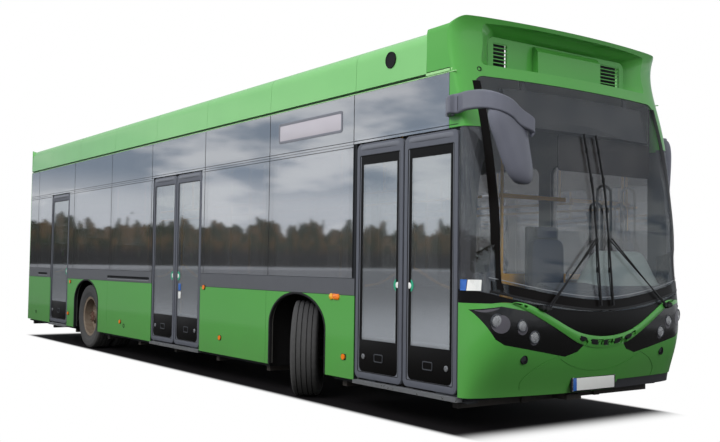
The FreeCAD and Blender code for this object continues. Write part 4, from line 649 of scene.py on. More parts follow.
def along_path(path):
    """Each point of a path over the front, with the path's direction there."""
    for i, point in enumerate(path):
        before, after = path[max(i - 1, 0)], path[min(i + 1, len(path) - 1)]
        yield point, Vector((0, after.y - before.y, after.z - before.z)).normalized()


def face_strip(name, line, width, height, key, steps=5, taper=False):
    """Raised strip over the front along a (y, z) line."""
    path = smooth_line([(0, y, z) for y, z in line], steps)
    rings = []
    for i, (point, along) in enumerate(along_path(path)):
        share = i / (len(path) - 1)
        half = width / 2 * (math.sin(math.pi * (0.06 + 0.88 * share)) if taper else 1)
        side = Vector((0, -along.z, along.y)) * half
        rings.append([FACE.front(point.y + side.y * across, point.z + side.z * across, lift)
                      for across, lift in ((-1, -0.002), (-1, height * 0.7), (0, height),
                                           (1, height * 0.7), (1, -0.002))])
    Form().rings(rings).piece(name, key)


# Tyres and wheels

def wheel_place(body):
    """Centre and outward axis of a wheel's body."""
    for joint in frame["record"]["behaviour"]["joints"]:
        if joint["child"] == body:
            centre, axis = Vector(joint["pos_m"]), Vector(joint["axis"]).normalized()
            return centre, axis if axis.y * centre.y > 0 else -axis
    raise ValueError(body)


TYRE_RADIUS, BEAD_RADIUS, TWIN_SPACING = 0.479, 0.286, 0.312
GROOVES = (-0.075, -0.026, 0.026, 0.075)
GROOVE_WIDTH, GROOVE_DEPTH = 0.011, 0.013


def tyre_profile():
    """(along, radius) points from bead to bead over the tread with its grooves."""
    side = [(0.100, BEAD_RADIUS + 0.002), (0.104, BEAD_RADIUS + 0.014), (0.114, 0.300),
            (0.122, 0.322), (0.1225, 0.330), (0.131, 0.342), (0.1372, 0.372), (0.138, 0.392),
            (0.1345, 0.424), (0.1355, 0.428), (0.131, 0.446), (0.127, 0.450), (0.1235, 0.464),
            (0.113, 0.4725), (0.100, 0.4762)]
    tread = []
    for groove in GROOVES:
        crown = TYRE_RADIUS - 0.0022 * (groove / GROOVES[-1]) ** 2
        half = GROOVE_WIDTH / 2
        tread += [(groove - half, crown), (groove - half * 0.6, crown - GROOVE_DEPTH),
                  (groove + half * 0.6, crown - GROOVE_DEPTH), (groove + half, crown)]
        if groove != GROOVES[-1]:
            tread.append((groove + half + 0.018, TYRE_RADIUS - 0.0004))
    return [(-along, radius) for along, radius in side] + tread + side[::-1]


TREAD_STEPS, NICK_DEPTH, LINING_HALF = 120, 0.004, 0.095


def make_tyre(name, body, shifts):
    """Tyre with grooves, and nicks round its shoulders; twins stand side by side."""
    centre, axis = wheel_place(body)
    profile = tyre_profile()
    form = Form()
    for shift in shifts:
        rings = []
        for i, out in enumerate(spokes(axis, TREAD_STEPS)):
            nick = 0 if i % 3 else NICK_DEPTH
            rings.append([centre + axis * (along + shift) + out
                          * (radius - nick * (0.095 < abs(along) < 0.128 and radius > 0.455))
                          for along, radius in profile])
        form.rings(rings, closed=False, caps=False, around=True)
        lining = [(along, BEAD_RADIUS + 0.001) for along in (-LINING_HALF, LINING_HALF)]
        form.turned(lining, centre + axis * shift, axis, TREAD_STEPS)
    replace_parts(form.piece(name + "_tread", "tyre", body), name)


def ring_spots(centre, axis, radius, count, along, turn=0.0):
    """Evenly spaced spots on a circle about an axis."""
    return [centre + axis * along + out * radius for out in spokes(axis, count, turn)]


def add_nut(form, spot, axis, size=0.0135, height=0.02):
    """Hexagonal nut with the end of its stud."""
    form.rings([[spot + axis * along + out * reach for out in spokes(axis, 6)]
                for along, reach in ((-0.004, size), (height * 0.8, size),
                                     (height, size * 0.8))])
    form.turned([(height, 0.0001), (height + 0.012, 0.0001), (height + 0.012, 0.007),
                 (height - 0.002, 0.008)], spot, axis, 8)


NUTS, NUT_CIRCLE, HAND_HOLE_CIRCLE = 10, 0.168, 0.232
FRONT_FLANGE, REAR_FLANGE = 0.076, -0.056
CAP_NUTS, FRONT_CAP_NUTS, REAR_CAP_NUTS = 8, (0.086, 0.128), (0.076, 0.066)
FRONT_HUB = ((0.150, 0.0001), (0.149, 0.03), (0.140, 0.058), (0.131, 0.066), (0.128, 0.092),
             (0.112, 0.104), (0.080, 0.108))
REAR_HUB = ((0.070, 0.0001), (0.0755, 0.02), (0.0755, 0.05), (0.070, 0.072), (0.045, 0.084),
            (0.0, 0.094), (-0.05, 0.1))
RIM_EDGE = ((0.0995, 0.2965), (0.110, 0.2975), (0.111, 0.290), (0.1035, 0.2765),
            (0.0915, 0.2745))


def make_wheel_details(name, rear):
    """Nuts on their ring, black discs of painted shade in the hand holes, hub cap and rolled rim edge
    of one wheel.
    """
    centre, axis = wheel_place(name)
    flange = REAR_FLANGE if rear else FRONT_FLANGE
    nuts, hole_shade, cap = Form(), Form(), Form()
    for spot in ring_spots(centre, axis, NUT_CIRCLE, NUTS, flange):
        add_nut(nuts, spot, axis)
    nuts.turned([(flange, 0.188), (flange + 0.006, 0.186), (flange + 0.006, 0.148),
                 (flange, 0.146)], centre, axis, 48)
    nuts.piece(name + "_nuts", "steel", name)
    # Painted shade: black discs stand in for the dark seen through the hand holes.
    sunk = flange + (0.022 if rear else -0.008)
    for spot in ring_spots(centre, axis, HAND_HOLE_CIRCLE, NUTS, sunk, 0.5):
        hole_shade.turned([(0.002, 0.0001), (0.003, 0.019), (0.006, 0.0235), (0.001, 0.027)],
                     spot, axis, 20)
    hole_shade.piece(name + "_hand_hole_shade", "grille", name)
    cap.turned(REAR_HUB if rear else FRONT_HUB, centre, axis, 40)
    reach, along = REAR_CAP_NUTS if rear else FRONT_CAP_NUTS
    for spot in ring_spots(centre, axis, reach, CAP_NUTS, along):
        add_nut(cap, spot, axis, 0.007, 0.008)
    cap.piece(name + "_hub_cap", "hub", name)
    Form().turned(RIM_EDGE, centre, axis, 72).piece(name + "_rim_edge", "steel", name)


def make_wheels():
    for end, rear in (("front", False), ("rear", True)):
        for side in ("right", "left"):
            name = f"wheel_{end}_{side}"
            shifts = (0.0, -TWIN_SPACING) if rear else (0.0,)
            make_tyre(f"tyre_{end}_{side}", name, shifts)
            make_wheel_details(name, rear)


# Doors

LEAVES = ("door_rear", "door_middle_a", "door_middle_b", "door_front_a", "door_front_b")
LEAF_LOW, LEAF_HIGH, LEAF_FACE = 0.312, 2.404, -SIDE + 0.007
SEAL_WIDTH, PANEL_TOP, DISC_HEIGHT = 0.044, 0.655, 1.150
FRONT_PRINT, OTHER_PRINT = (0.050, 2.215), (0.010, 2.315)
LEAF_EDGE, LOCK_HEIGHT = 0.002, 0.505
HANDRAIL = ((0.08, 0.0, 1.13), (0.14, 0.030, 1.135), (0.40, 0.034, 1.165),
            (0.72, 0.034, 1.235), (0.88, 0.030, 1.275), (0.93, 0.0, 1.29))


def make_leaf_frame(name, x0, x1, z0, z1):
    """Raised seal round a leaf, the bead that holds its pane and the roll at its top."""

    def pane_edge(inset):
        return ((x0 + SEAL_WIDTH + inset, z0 + SEAL_WIDTH + 0.01 + inset),
                (x1 - SEAL_WIDTH - inset, z1 - SEAL_WIDTH - 0.06 - inset), 0.016)
    outer = side_outline((x0, z0), (x1, z1), 0.055, LEAF_FACE, 8)
    inner = side_outline(*pane_edge(0.0), LEAF_FACE, 8)
    Form().band(outer, inner, (0, -0.0055, 0)).piece(name + "_seal", "seal", name)
    bead = side_outline(*pane_edge(0.001), LEAF_FACE - 0.0015, 8)
    Form().tube(bead, 0.0042, 8, loop=True).piece(name + "_bead", "soft", name)
    roll = []
    for i in range(9):
        share = i / 8
        x = x0 + 0.012 + (x1 - x0 - 0.024) * share
        swell = 1 - (2 * share - 1) ** 8
        roll.append([Vector((x, LEAF_FACE - 0.014 * swell * math.sin(math.pi * k / 8) + 0.001,
                             z1 - 0.036 - 0.026 * math.cos(math.pi * k / 8)))
                     for k in range(9)])
    Form().rings(roll, closed=False, caps=False).piece(name + "_roll", "door", name)


def make_leaf_print(name, left, right, bottom, top):
    """Black lower panel and the dark print round the clear part of the pane."""
    border, clear_top = FRONT_PRINT if "door_front" in name else OTHER_PRINT
    panel = Form()
    panel.box((left, LEAF_FACE + 0.001, bottom), (right, LEAF_FACE + 0.003, PANEL_TOP), 0.0008)
    for xa, za, xb in ((left, PANEL_TOP - 0.002, left + border),
                       (right - border, PANEL_TOP - 0.002, right),
                       (left + border, clear_top, right - border)):
        if top > za:
            panel.box((xa, LEAF_FACE + 0.001, za), (xb, LEAF_FACE + 0.003, top))
    panel.piece(name + "_lower_panel", "black", name)


def make_leaf_fittings(name, left, right):
    """Lock, grip recess, press disc and handrail, placed by the leaf's hand."""
    handed = name.endswith("_a") or name == "door_rear"
    start, stop = (left, right) if handed else (right, left)
    inward = 1 if handed else -1
    out = (0, -1, 0)
    Form().turned([(-0.004, 0.024), (0.004, 0.024), (0.006, 0.020), (0.006, 0.013),
                   (0.003, 0.012), (0.003, 0.0001)],
                  (start + inward * 0.085, LEAF_FACE, LOCK_HEIGHT), out, 28).piece(
                      name + "_lock", "aluminium", name)
    x = (left + right) / 2 + (0.01 if handed else -0.02)
    recess_in, recess_out = (
        side_outline((x - half, LOCK_HEIGHT - tall), (x + half, LOCK_HEIGHT + tall), radius,
                     LEAF_FACE, 4)
        for half, tall, radius in ((0.055, 0.027, 0.010), (0.064, 0.036, 0.014)))
    Form().band(recess_out, recess_in, (0, -0.004, 0)).piece(name + "_recess", "post", name)
    spot = (stop - inward * 0.030, LEAF_FACE + 0.003, DISC_HEIGHT)
    Form().turned([(0.0, 0.055), (0.0016, 0.054), (0.0016, 0.0001)], spot, out, 40).piece(
        name + "_disc", "disc_green", name)
    Form().turned([(0.0018, 0.026), (0.0024, 0.025), (0.0024, 0.0001)], spot, out, 32).piece(
        name + "_disc_ring", "white", name)
    line = [(start + (stop - start) * share, LEAF_FACE + 0.036 + off, z)
            for share, off, z in HANDRAIL]
    Form().tube(smooth_line(line, 6), 0.0135, 10).piece(name + "_handrail", "rail", name)


def make_leaf_details(name):
    low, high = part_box(name)
    x0, x1 = low.x + LEAF_EDGE, high.x - LEAF_EDGE
    z0, z1 = LEAF_LOW + LEAF_EDGE, LEAF_HIGH - LEAF_EDGE
    left, right = x0 + SEAL_WIDTH - 0.004, x1 - SEAL_WIDTH + 0.004
    make_leaf_frame(name, x0, x1, z0, z1)
    make_leaf_print(name, left, right, z0 + SEAL_WIDTH, z1 - 0.1)
    make_leaf_fittings(name, left, right)


def make_middle_labels():
    """Small plain blue and white patches on the middle doors' glass."""
    name = "door_middle_b"
    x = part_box(name)[0].x + 0.118
    for z, key in ((1.015, "blue"), (0.915, "white")):
        Form().box((x - 0.034, LEAF_FACE + 0.0012, z - 0.042),
                   (x + 0.034, LEAF_FACE + 0.003, z + 0.042), 0.0006).piece(
                       f"{name}_patch_{key}", key, name)


# Sides

AXLES = (REAR + 3.125, REAR + 9.22)
ARCH_HALF, ARCH_SPRING, ARCH_TOP = 0.535, 0.700, 1.042
ARCH_RIM = ((0, -0.012), (0, 0.004), (0.5, 0.006), (1, 0.002), (1, -0.030))
PANEL_BREAKS = (REAR + 0.6, REAR + 2.48, REAR + 4.1, REAR + 5.56, REAR + 7.13, REAR + 8.65,
                REAR + 10.18)


def arch_line(axle, margin, bottom=0.292):
    line = [(axle - ARCH_HALF + margin, bottom)]
    for i in range(33):
        angle = math.pi * (1 - i / 32)
        line.append((axle + (ARCH_HALF - margin) * math.cos(angle),
                     ARCH_SPRING + (ARCH_TOP - ARCH_SPRING - margin) * math.sin(angle)))
    return line + [(axle + ARCH_HALF - margin, bottom)]


def make_arch_rims():
    for side, word in SIDES:
        for axle, end in zip(AXLES, ("rear", "front")):
            rings = []
            for (x0, z0), (x1, z1) in zip(arch_line(axle, 0.001), arch_line(axle, 0.022)):
                rings.append([Vector((x0 + (x1 - x0) * share, side * (SIDE + out),
                                      z0 + (z1 - z0) * share))
                              for share, out in ARCH_RIM])
            Form().rings(rings).piece(f"arch_rim_{end}_{word}", "rubber")


MARKERS = ((-3.731, 0.99), (-3.791, 0.485), (1.042, 1.03), (1.472, 0.473), (-1.570, 0.478),
           (3.947, 0.476))
RECESSES = ((-1.427, 0.43), (-5.50, 0.43))
INDICATOR, INDICATOR_SIZE = (3.822, 1.018), (0.047, 0.028)


def make_side_lamps():
    """Bezels round the marker lamps, small round cups, and the pair of indicators."""
    bezels = Form()
    for side, _ in SIDES:
        for x, z in MARKERS:
            outer, inner = (side_outline((x - half, z - tall), (x + half, z + tall), radius,
                                         side * SIDE, 5)
                            for half, tall, radius in ((0.040, 0.028, 0.018),
                                                       (0.030, 0.019, 0.012)))
            bezels.band(outer, inner, (0, side * 0.005, 0))
    bezels.piece("marker_bezels", "soft")
    cups = Form()
    for x, z in RECESSES:
        cups.turned([(0.001, 0.030), (0.004, 0.028), (0.004, 0.021), (-0.004, 0.018),
                     (-0.005, 0.0001)], (x, -SIDE, z), (0, -1, 0), 24)
    cups.piece("side_recess_cups", "grille")
    x, z = INDICATOR
    half, tall = INDICATOR_SIZE
    Form().turned([(0.0, 0.030), (0.010, 0.029), (0.016, 0.022), (0.018, 0.0001)],
                  (x - 0.087, -SIDE, z), (0, -1, 0), 28).piece("side_indicator_round",
                                                               "yellow_lens")
    oval = rounded_outline((x - half, z - tall), (x + half, z + tall), 0.027, 6)
    rings = [on_side([(x + (px - x) * share, z + (pz - z) * share) for px, pz in oval],
                     -SIDE - lift)
             for lift, share in ((0.0, 1.0), (0.010, 0.96), (0.017, 0.72), (0.019, 0.3))]
    Form().rings(rings).piece("side_indicator_oval", "amber")


VENTS = ((-2.105, -0.589, 1.100), (-5.427, -4.938, 1.100))
SLAT_PITCH = 0.06


def make_vents():
    """Framed slots with thin slats under the windows, and a bright strip below each."""
    strips, slats = Form(), Form()
    for low, high, z in VENTS:
        outer = side_outline((low, z - 0.016), (high, z + 0.016), 0.015, -SIDE, 5)
        inner = side_outline((low + 0.008, z - 0.010), (high - 0.008, z + 0.010), 0.009,
                             -SIDE, 5)
        slats.band(outer, inner, (0, -0.003, 0))
        for i in range(int((high - low) / SLAT_PITCH)):
            x = low + 0.04 + i * SLAT_PITCH
            slats.box((x - 0.003, -SIDE - 0.001, z - 0.011),
                      (x + 0.003, -SIDE + 0.006, z + 0.011), 0.0008)
        strips.box((low + 0.01, -SIDE - 0.002, z - 0.036),
                   (high - 0.01, -SIDE + 0.001, z - 0.028), 0.0008)
    slats.piece("waist_vent_frames", "grille")
    strips.piece("waist_vent_strips", "aluminium")


SIGN_LOW, SIGN_HIGH, SIGN_FRAME = (2.713, 2.545), (3.880, 2.752), 0.026


def make_side_sign():
    """Blank destination sign in the glass band, behind the front doors."""
    (x0, z0), (x1, z1) = SIGN_LOW, SIGN_HIGH
    outer = side_outline(SIGN_LOW, SIGN_HIGH, 0.035, -SIDE)
    inner = side_outline((x0 + SIGN_FRAME, z0 + SIGN_FRAME), (x1 - SIGN_FRAME, z1 - SIGN_FRAME),
                         0.016, -SIDE)
    Form().band(outer, inner, (0, -0.0035, 0)).piece("side_sign_frame", "sign_frame")
    reach = SIGN_FRAME - 0.002
    Form().box((x0 + reach, -SIDE - 0.0012, z0 + reach),
               (x1 - reach, -SIDE + 0.001, z1 - reach), 0.0006).piece("side_sign_face", "sign")


DOORS = (("door_rear", "door_rear"), ("door_middle_a", "door_middle_b"),
         ("door_front_a", "door_front_b"))


def runs_beside_doors(start, end, margin=0.03):
    """Stretches of the right side between the doorways."""
    for first, last in DOORS:
        yield start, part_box(first)[0].x - margin
        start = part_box(last)[1].x + margin
    yield start, end


SEAM_LOW, SEAM_HIGH, DOOR_SEAM, BAND_SEAM = 1.198, 2.866, 2.388, 2.440


def add_seam(form, side, low, high, out):
    """Thin line on one side between two (x, z) corners, standing out a little."""
    near, far = sorted((side * SIDE, side * (SIDE + out)))
    form.box((low[0], near, low[1]), (high[0], far, high[1]), 0.0004)


def make_seams():
    """Dark sealant lines along the glass band and the joints between its panes."""
    seams = Form()
    for side, _ in SIDES:
        for x in PANEL_BREAKS:
            add_seam(seams, side, (x - 0.004, SEAM_LOW), (x + 0.004, SEAM_HIGH), 0.0012)
        whole = [(REAR + 0.16, FRONT - 0.39)]
        lower = runs_beside_doors(*whole[0]) if side < 0 else whole
        for z, stretches in ((DOOR_SEAM, lower), (BAND_SEAM, whole)):
            for start, end in stretches:
                if end - start > 0.05:
                    add_seam(seams, side, (start, z - 0.003), (end, z + 0.003), 0.001)
    seams.piece("glazing_seams", "line")


CHANNEL = ((0.012, 2.872), (0.002, 2.874), (0.002, 2.882), (0.018, 2.886), (0.018, 2.897),
           (0.022, 2.897), (0.022, 2.874))
LIP_HEIGHT, FAIRING_DISC = 2.871, (4.606, 3.10)


def make_gutters():
    """Dark green drip channel under the roof cheeks, its pale lip, and the fairing's disc. The
    channel's dark green is painted shade, and the pale green of the lips and the front edges is
    painted highlight.
    """
    channel, lips, edge = Form(), Form(), Form()
    for side, _ in SIDES:
        channel.rings([[Vector((x, side * (SIDE - depth), z)) for depth, z in CHANNEL]
                       for x in (REAR + 0.16, -3, 0, 3, FRONT - 0.79)])
        y = side * (SIDE - 0.001)
        lips.tube([(x, y, LIP_HEIGHT) for x in (REAR + 0.16, 0, FRONT - 0.42)], 0.005, 8)
        y = side * (SIDE - 0.004)
        edge.box((FRONT - 0.80, y - 0.004, 2.880), (FRONT - 0.47, y + 0.004, 2.904), 0.003)
    # The channel's dark green is painted shade.
    channel.piece("roof_gutters", "gutter")
    # The pale green of the lips and front edges is painted highlight.
    lips.piece("gutter_lips", "lip_painted_highlight")
    edge.piece("roof_front_edges", "lip_painted_highlight")
    x, z = FAIRING_DISC
    Form().turned([(-0.002, 0.073), (0.006, 0.072), (0.009, 0.066), (0.004, 0.060),
                   (0.003, 0.0001)], (x, -SIDE, z), (0, -1, 0), 40).piece("fairing_disc",
                                                                          "grille")


DOORWAYS = ((-4.757, -3.862), (-0.499, 0.943), (4.104, 5.507))


def make_sill_strips():
    """Ribs and a rounded nose on the sill of each doorway."""
    strips = Form()
    for low, high in DOORWAYS:
        for i in range(5):
            y = -SIDE + 0.004 + i * 0.011
            strips.box((low + 0.02, y - 0.003, 0.289), (high - 0.02, y + 0.003, 0.2925), 0.001)
        nose = [(x, -SIDE - 0.007, 0.276) for x in (low + 0.004, high - 0.004)]
        strips.tube(nose, 0.0045, 10)
    strips.piece("sill_treads", "aluminium")


# Front

LAMPS = ((1.116, 0.901, 0.042), (0.906, 0.863, 0.036), (0.782, 0.771, 0.038))
CRESCENTS = ((0.026, 0.024, 0.070), (0.004, 0.024, 0.048), (0.002, 0.022, 0.042))
LAMP_SWELL, LAMP_TURN = 1.12, 0.55
CORNER_LINE = ((1.240, 0.978), (1.20, 0.975), (1.16, 0.982), (1.10, 0.996))
FOG, FOG_HALF = (0.849, 0.596), 0.05
FOG_RECESS = ((-0.004, 0.037), (0.004, 0.036), (0.006, 0.032), (0.002, 0.029), (-0.012, 0.026),
              (-0.016, 0.0001))
BULB = ((-0.044, 0.016), (-0.024, 0.015), (-0.016, 0.010), (-0.013, 0.0001))


def face_disc(name, y, z, size, lift, key):
    """Thin round plate that follows the front's surface."""
    rings = []
    for share, rise in ((1.0, -0.001), (1.0, lift), (0.7, lift), (0.35, lift), (0.02, lift)):
        rings.append([FACE.front(y + size * share * right, z + size * share * up, rise)
                      for right, up in circle(40)])
    Form().rings(rings).piece(name, key)


def lamp_seat(y, z, radius):
    """Centre of a round lamp on the front and its axis, turned halfway to the surface."""
    reach = radius * 1.35
    edge = [FACE.front(y + reach * across, z + reach * up)
            for across, up in ((1, 0), (0, 1), (-1, 0), (0, -1))]
    normal = (edge[1] - edge[0]).cross(edge[2] - edge[0]).normalized()
    axis = Vector((1, 0, 0)).lerp(normal if normal.x > 0 else -normal, LAMP_TURN)
    axis.normalize()
    return sum(edge, Vector()) / 4 + axis * 0.002, axis


def make_headlamp_details():
    """Bowl, bezel, lens and bulb of each round lamp, and the trims in the lamp housings."""
    for side, word in SIDES:
        bowls, bezels, lenses, bulbs = Form(), Form(), Form(), Form()
        for y, z, radius in LAMPS:
            r = radius * LAMP_SWELL
            spot, axis = lamp_seat(side * y, z, r)
            bowls.turned([(-0.045, 0.006), (-0.040, r * 0.45), (-0.022, r * 0.78),
                          (0.000, r * 0.97), (0.002, r * 1.02)], spot, axis, 36)
            bezels.turned([(-0.006, r * 1.24), (0.003, r * 1.20), (0.006, r * 1.10),
                           (0.004, r * 1.0), (-0.004, r * 0.99)], spot, axis, 40)
            lenses.turned([(0.001, r * 0.99), (0.007, r * 0.8), (0.011, r * 0.45),
                           (0.012, 0.0001)], spot, axis, 32)
            bulbs.turned(BULB, spot, axis, 16)
        for form, part, key in ((bowls, "bowls", "chrome"), (bezels, "bezels", "post"),
                                (lenses, "lenses", "clear_lens"), (bulbs, "bulbs", "lamp_glow")):
            form.piece(f"lamp_{part}_{word}", key)
        for i, ((y, z, _), (shift, drop, size)) in enumerate(zip(LAMPS, CRESCENTS)):
            face_disc(f"lamp_crescent_{word}_{i}", side * (y - shift), z - drop, size, 0.0012,
                      "crescent")
        face_strip(f"lamp_corner_{word}", [(side * y, z) for y, z in CORNER_LINE], 0.020,
                   0.0035, "crescent", 4, True)
        y, z = FOG
        fog = FACE.front(side * y + FOG_HALF, z).lerp(FACE.front(side * y - FOG_HALF, z), 0.5)
        Form().turned(FOG_RECESS, fog, (1, side * 0.12, 0), 32).piece(f"fog_recess_{word}",
                                                                      "grille")


SMILE = ((-0.99, 1.036, 0.014), (-0.93, 1.026, 0.034), (-0.87, 1.008, 0.050),
         (-0.788, 0.976, 0.058), (-0.60, 0.886, 0.062), (-0.44, 0.808, 0.068),
         (-0.30, 0.752, 0.084), (-0.15, 0.720, 0.096), (0.0, 0.710, 0.098))
SLOT_SPANS = ((-0.320, -0.225), (-0.190, -0.070), (-0.055, 0.062), (0.080, 0.190),
              (0.232, 0.330))
SMILE_SECTION = ((-1.0, -0.004), (-0.96, 0.007), (-0.5, 0.012), (0.0, 0.014), (0.5, 0.012),
                 (0.96, 0.007), (1.0, -0.004))
SLOT_HALF, SLOT_HEIGHT, SLOT_CURVE = 0.021, 0.710, 0.47


def make_smile():
    """Raised green band under the apron, with dark slots in its middle."""
    half = [Vector((width, y, z)) for y, z, width in SMILE]
    path = smooth_line(half + [Vector((p.x, -p.y, p.z)) for p in half[-2::-1]], 5)
    rings = []
    for point, along in along_path(path):
        side = Vector((0, -along.z, along.y)) * point.x / 2
        ring = []
        for share, lift in SMILE_SECTION:
            spot = point + side * share
            ring.append(FACE.front(spot.y, spot.z, lift))
        rings.append(ring)
    Form().rings(rings).piece("smile_band", "green")
    slots = Form()
    for low, high in SLOT_SPANS:
        rows = []
        for i in range(9):
            y = low + (high - low) * i / 8
            z = SLOT_HEIGHT + SLOT_CURVE * y * y
            tall = SLOT_HALF * (1 - 0.75 * abs(2 * i / 8 - 1) ** 5)
            rows.append([FACE.front(y, z + tall * up, lift)
                         for up, lift in ((-1, 0.0148), (0, 0.0158), (1, 0.0148), (1, 0.004),
                                          (-1, 0.004))])
        slots.rings(rows)
    slots.piece("smile_slots", "grille")


PLATE_HALF, PLATE_LOW, PLATE_HIGH = 0.260, 0.307, 0.418


def make_plates():
    """Blank plates: the front one on a carrier, with a rim and a blue end."""
    x = FACE.front(0.0, 0.40).x
    Form().box((x - 0.012, -0.275, 0.300), (x + 0.004, 0.275, 0.425), 0.006).piece(
        "plate_carrier", "soft")
    Form().box((x + 0.004, -PLATE_HALF, PLATE_LOW), (x + 0.0065, PLATE_HALF, PLATE_HIGH),
               0.001).piece("front_plate", "white")
    Form().box((x + 0.0055, -0.258, 0.309), (x + 0.0072, -0.214, 0.416), 0.0004).piece(
        "front_plate_end", "blue")
    outer, inner = ([Vector((x + 0.0062, y, z)) for y, z in
                     rounded_outline((-PLATE_HALF + rim, PLATE_LOW + rim),
                                     (PLATE_HALF - rim, PLATE_HIGH - rim), radius, 4)]
                    for rim, radius in ((0, 0.01), (0.005, 0.008)))
    Form().band(outer, inner, (0.001, 0, 0)).piece("front_plate_rim", "line")
    Form().box((REAR - 0.004, -PLATE_HALF, 0.42), (REAR - 0.001, PLATE_HALF, 0.53),
               0.001).piece("rear_plate", "white")


PATCH_LOW, PATCH_HIGH = 1.130, 1.215


def make_corner_patch():
    """Plain white and blue square patches low on the corner glass."""
    skin = Skin(("front_glass",))
    for x0, x1, key in ((5.535, 5.60, "blue"), (5.607, 5.70, "white")):
        corners = [skin.right(x, z) for x, z in ((x0, PATCH_LOW), (x1, PATCH_LOW),
                                                 (x1, PATCH_HIGH), (x0, PATCH_HIGH))]
        rows = [[spot + normal * lift for spot, normal in corners]
                for lift in (0.0006, 0.0022)]
        Form().rings(rows).piece(f"corner_patch_{key}", key, smooth=False)


SPLIT_LOW, SPLIT_RISE, SPLIT_HALF, SPLIT_POWER = 0.959, 0.165, 1.2, 1.6


def split_height(y):
    """Height of the line between windscreen and apron at a distance from the middle."""
    return SPLIT_LOW + SPLIT_RISE * min(abs(y) / SPLIT_HALF, 1.0) ** SPLIT_POWER


def make_screen_lines():
    """Pale line over the foot of the windscreen, and the seal under it."""
    ys = [y / 5 for y in range(-5, 6)]
    for name, rise, width, height, key in (
            ("screen_heater_line", 0.118, 0.006, 0.0016, "pale_line"),
            ("screen_lower_seal", 0.012, 0.018, 0.004, "line")):
        line = [(y, split_height(y) + rise) for y in (-1.16, *ys, 1.16)]
        face_strip(name, line, width, height, key, 3)


def frit_patch(name, rows):
    """Thin border print over the glass, from rows of (y, z) pairs."""
    rings = [[FACE.front(y, z, 0.0012) for y, z in row]
             + [FACE.front(y, z, 0.0002) for y, z in row[::-1]] for row in rows]
    Form().rings(rings).piece(name, "frit")


FRIT_LOW, FRIT_HIGH = 1.14, 2.80


def make_frit():
    """Print along the foot and up both sides of the windscreen."""
    ys = [-1.15 + 2.3 * i / 30 for i in range(31)]
    frit_patch("screen_frit_bottom", [[(y, split_height(y) + rise)
                                       for rise in (0.006, 0.05, 0.095)] for y in ys])
    heights = [FRIT_LOW + (FRIT_HIGH - FRIT_LOW) * i / 24 for i in range(25)]
    for side, word in SIDES:
        frit_patch(f"screen_frit_{word}", [[(side * y, z) for y in (1.145, 1.11, 1.072)]
                                           for z in heights])


BLADE_PLACE, BLADE_LOW, BLADE_LENGTH = 0.075, 1.0, 1.43
CLIP_HEIGHTS = (1.10, 1.30, 1.545, 1.80, 2.05, 2.30)
WIPER_PIVOTS, PIVOT_HEIGHT, PIVOT_PITCH = {-1: 0.690, 1: 0.860}, 0.992, 0.038


def make_wiper_details():
    """Rubber and clips of each blade, and the two caps at the foot of each arm."""
    for side, word in SIDES:
        y = side * BLADE_PLACE
        line = [FACE.front(y, BLADE_LOW + BLADE_LENGTH * i / 24, 0.012) for i in range(25)]
        Form().tube(line, 0.0045, 6, flat=0.6).piece(f"wiper_rubber_{word}", "line")
        clips = Form()
        for z in CLIP_HEIGHTS:
            spot = FACE.front(y, z, 0.020)
            clips.box(spot - Vector((0.010, 0.010, 0.022)), spot + Vector((0.012, 0.010, 0.022)),
                      0.003)
        clips.piece(f"wiper_clips_{word}", "wiper")
        for i in range(2):
            shift = PIVOT_PITCH * i
            spot = FACE.front(side * (WIPER_PIVOTS[side] + shift), PIVOT_HEIGHT + shift * 0.2)
            Form().turned([(0.0, 0.024), (0.030, 0.023), (0.044, 0.018), (0.046, 0.0001)],
                          spot, (1, 0, 0.05), 20).piece(f"wiper_cap_{word}_{i}", "wiper")


VENT_X, VENT_LOW, VENT_HIGH, VENT_PITCH = FRONT - 0.518, 2.962, 3.205, 0.028


def make_scoop_vents():
    """Air openings beside the box in the scoop, dark from black backs of painted shade, with thin
    slats, and a washer's hole, a dark cup of painted shade.
    """
    shade_backs, slats = Form(), Form()
    for low, high in ((-0.86, -0.66), (0.52, 0.76)):
        # Painted shade: black backs stand in for the dark inside the openings.
        shade_backs.box((VENT_X + 0.001, low, VENT_LOW), (VENT_X + 0.006, high, VENT_HIGH), 0.002)
        for i in range(8):
            z = VENT_LOW + 0.023 + i * VENT_PITCH
            slats.box((VENT_X + 0.005, low + 0.006, z - 0.004),
                      (VENT_X + 0.013, high - 0.006, z + 0.004), 0.0015)
    shade_backs.piece("scoop_vent_shade_backs", "vent_painted_shade")
    slats.piece("scoop_vent_slats", "grille")
    # Painted shade: the dark cup stands in for the shade inside the washer's hole.
    Form().turned([(-0.002, 0.022), (0.004, 0.020), (0.004, 0.014), (-0.004, 0.013),
                   (-0.005, 0.0001)], FACE.front(-1.06, 2.905), (1, -0.35, 0.2), 20).piece(
                       "header_washer_hole", "grille")


ARM_JOINT, JOINT_REACH = Vector((5.56, -1.325, 2.585)), 0.4


def make_mirror_trim():
    """Joint line round the arm of the near side's mirror."""
    skin = Skin(("mirrors",))
    joint = []
    for right, up in circle(24):
        ray = Vector((0, right, -up))
        origin = ARM_JOINT - ray * JOINT_REACH
        spot, normal = skin.meet(origin, ray)
        if spot is not None and (spot - origin).length < JOINT_REACH + 0.1:
            joint.append(spot + normal * 0.0006)
    Form().tube(joint, 0.0022, 6, loop=True).piece("mirror_arm_joint", "line")


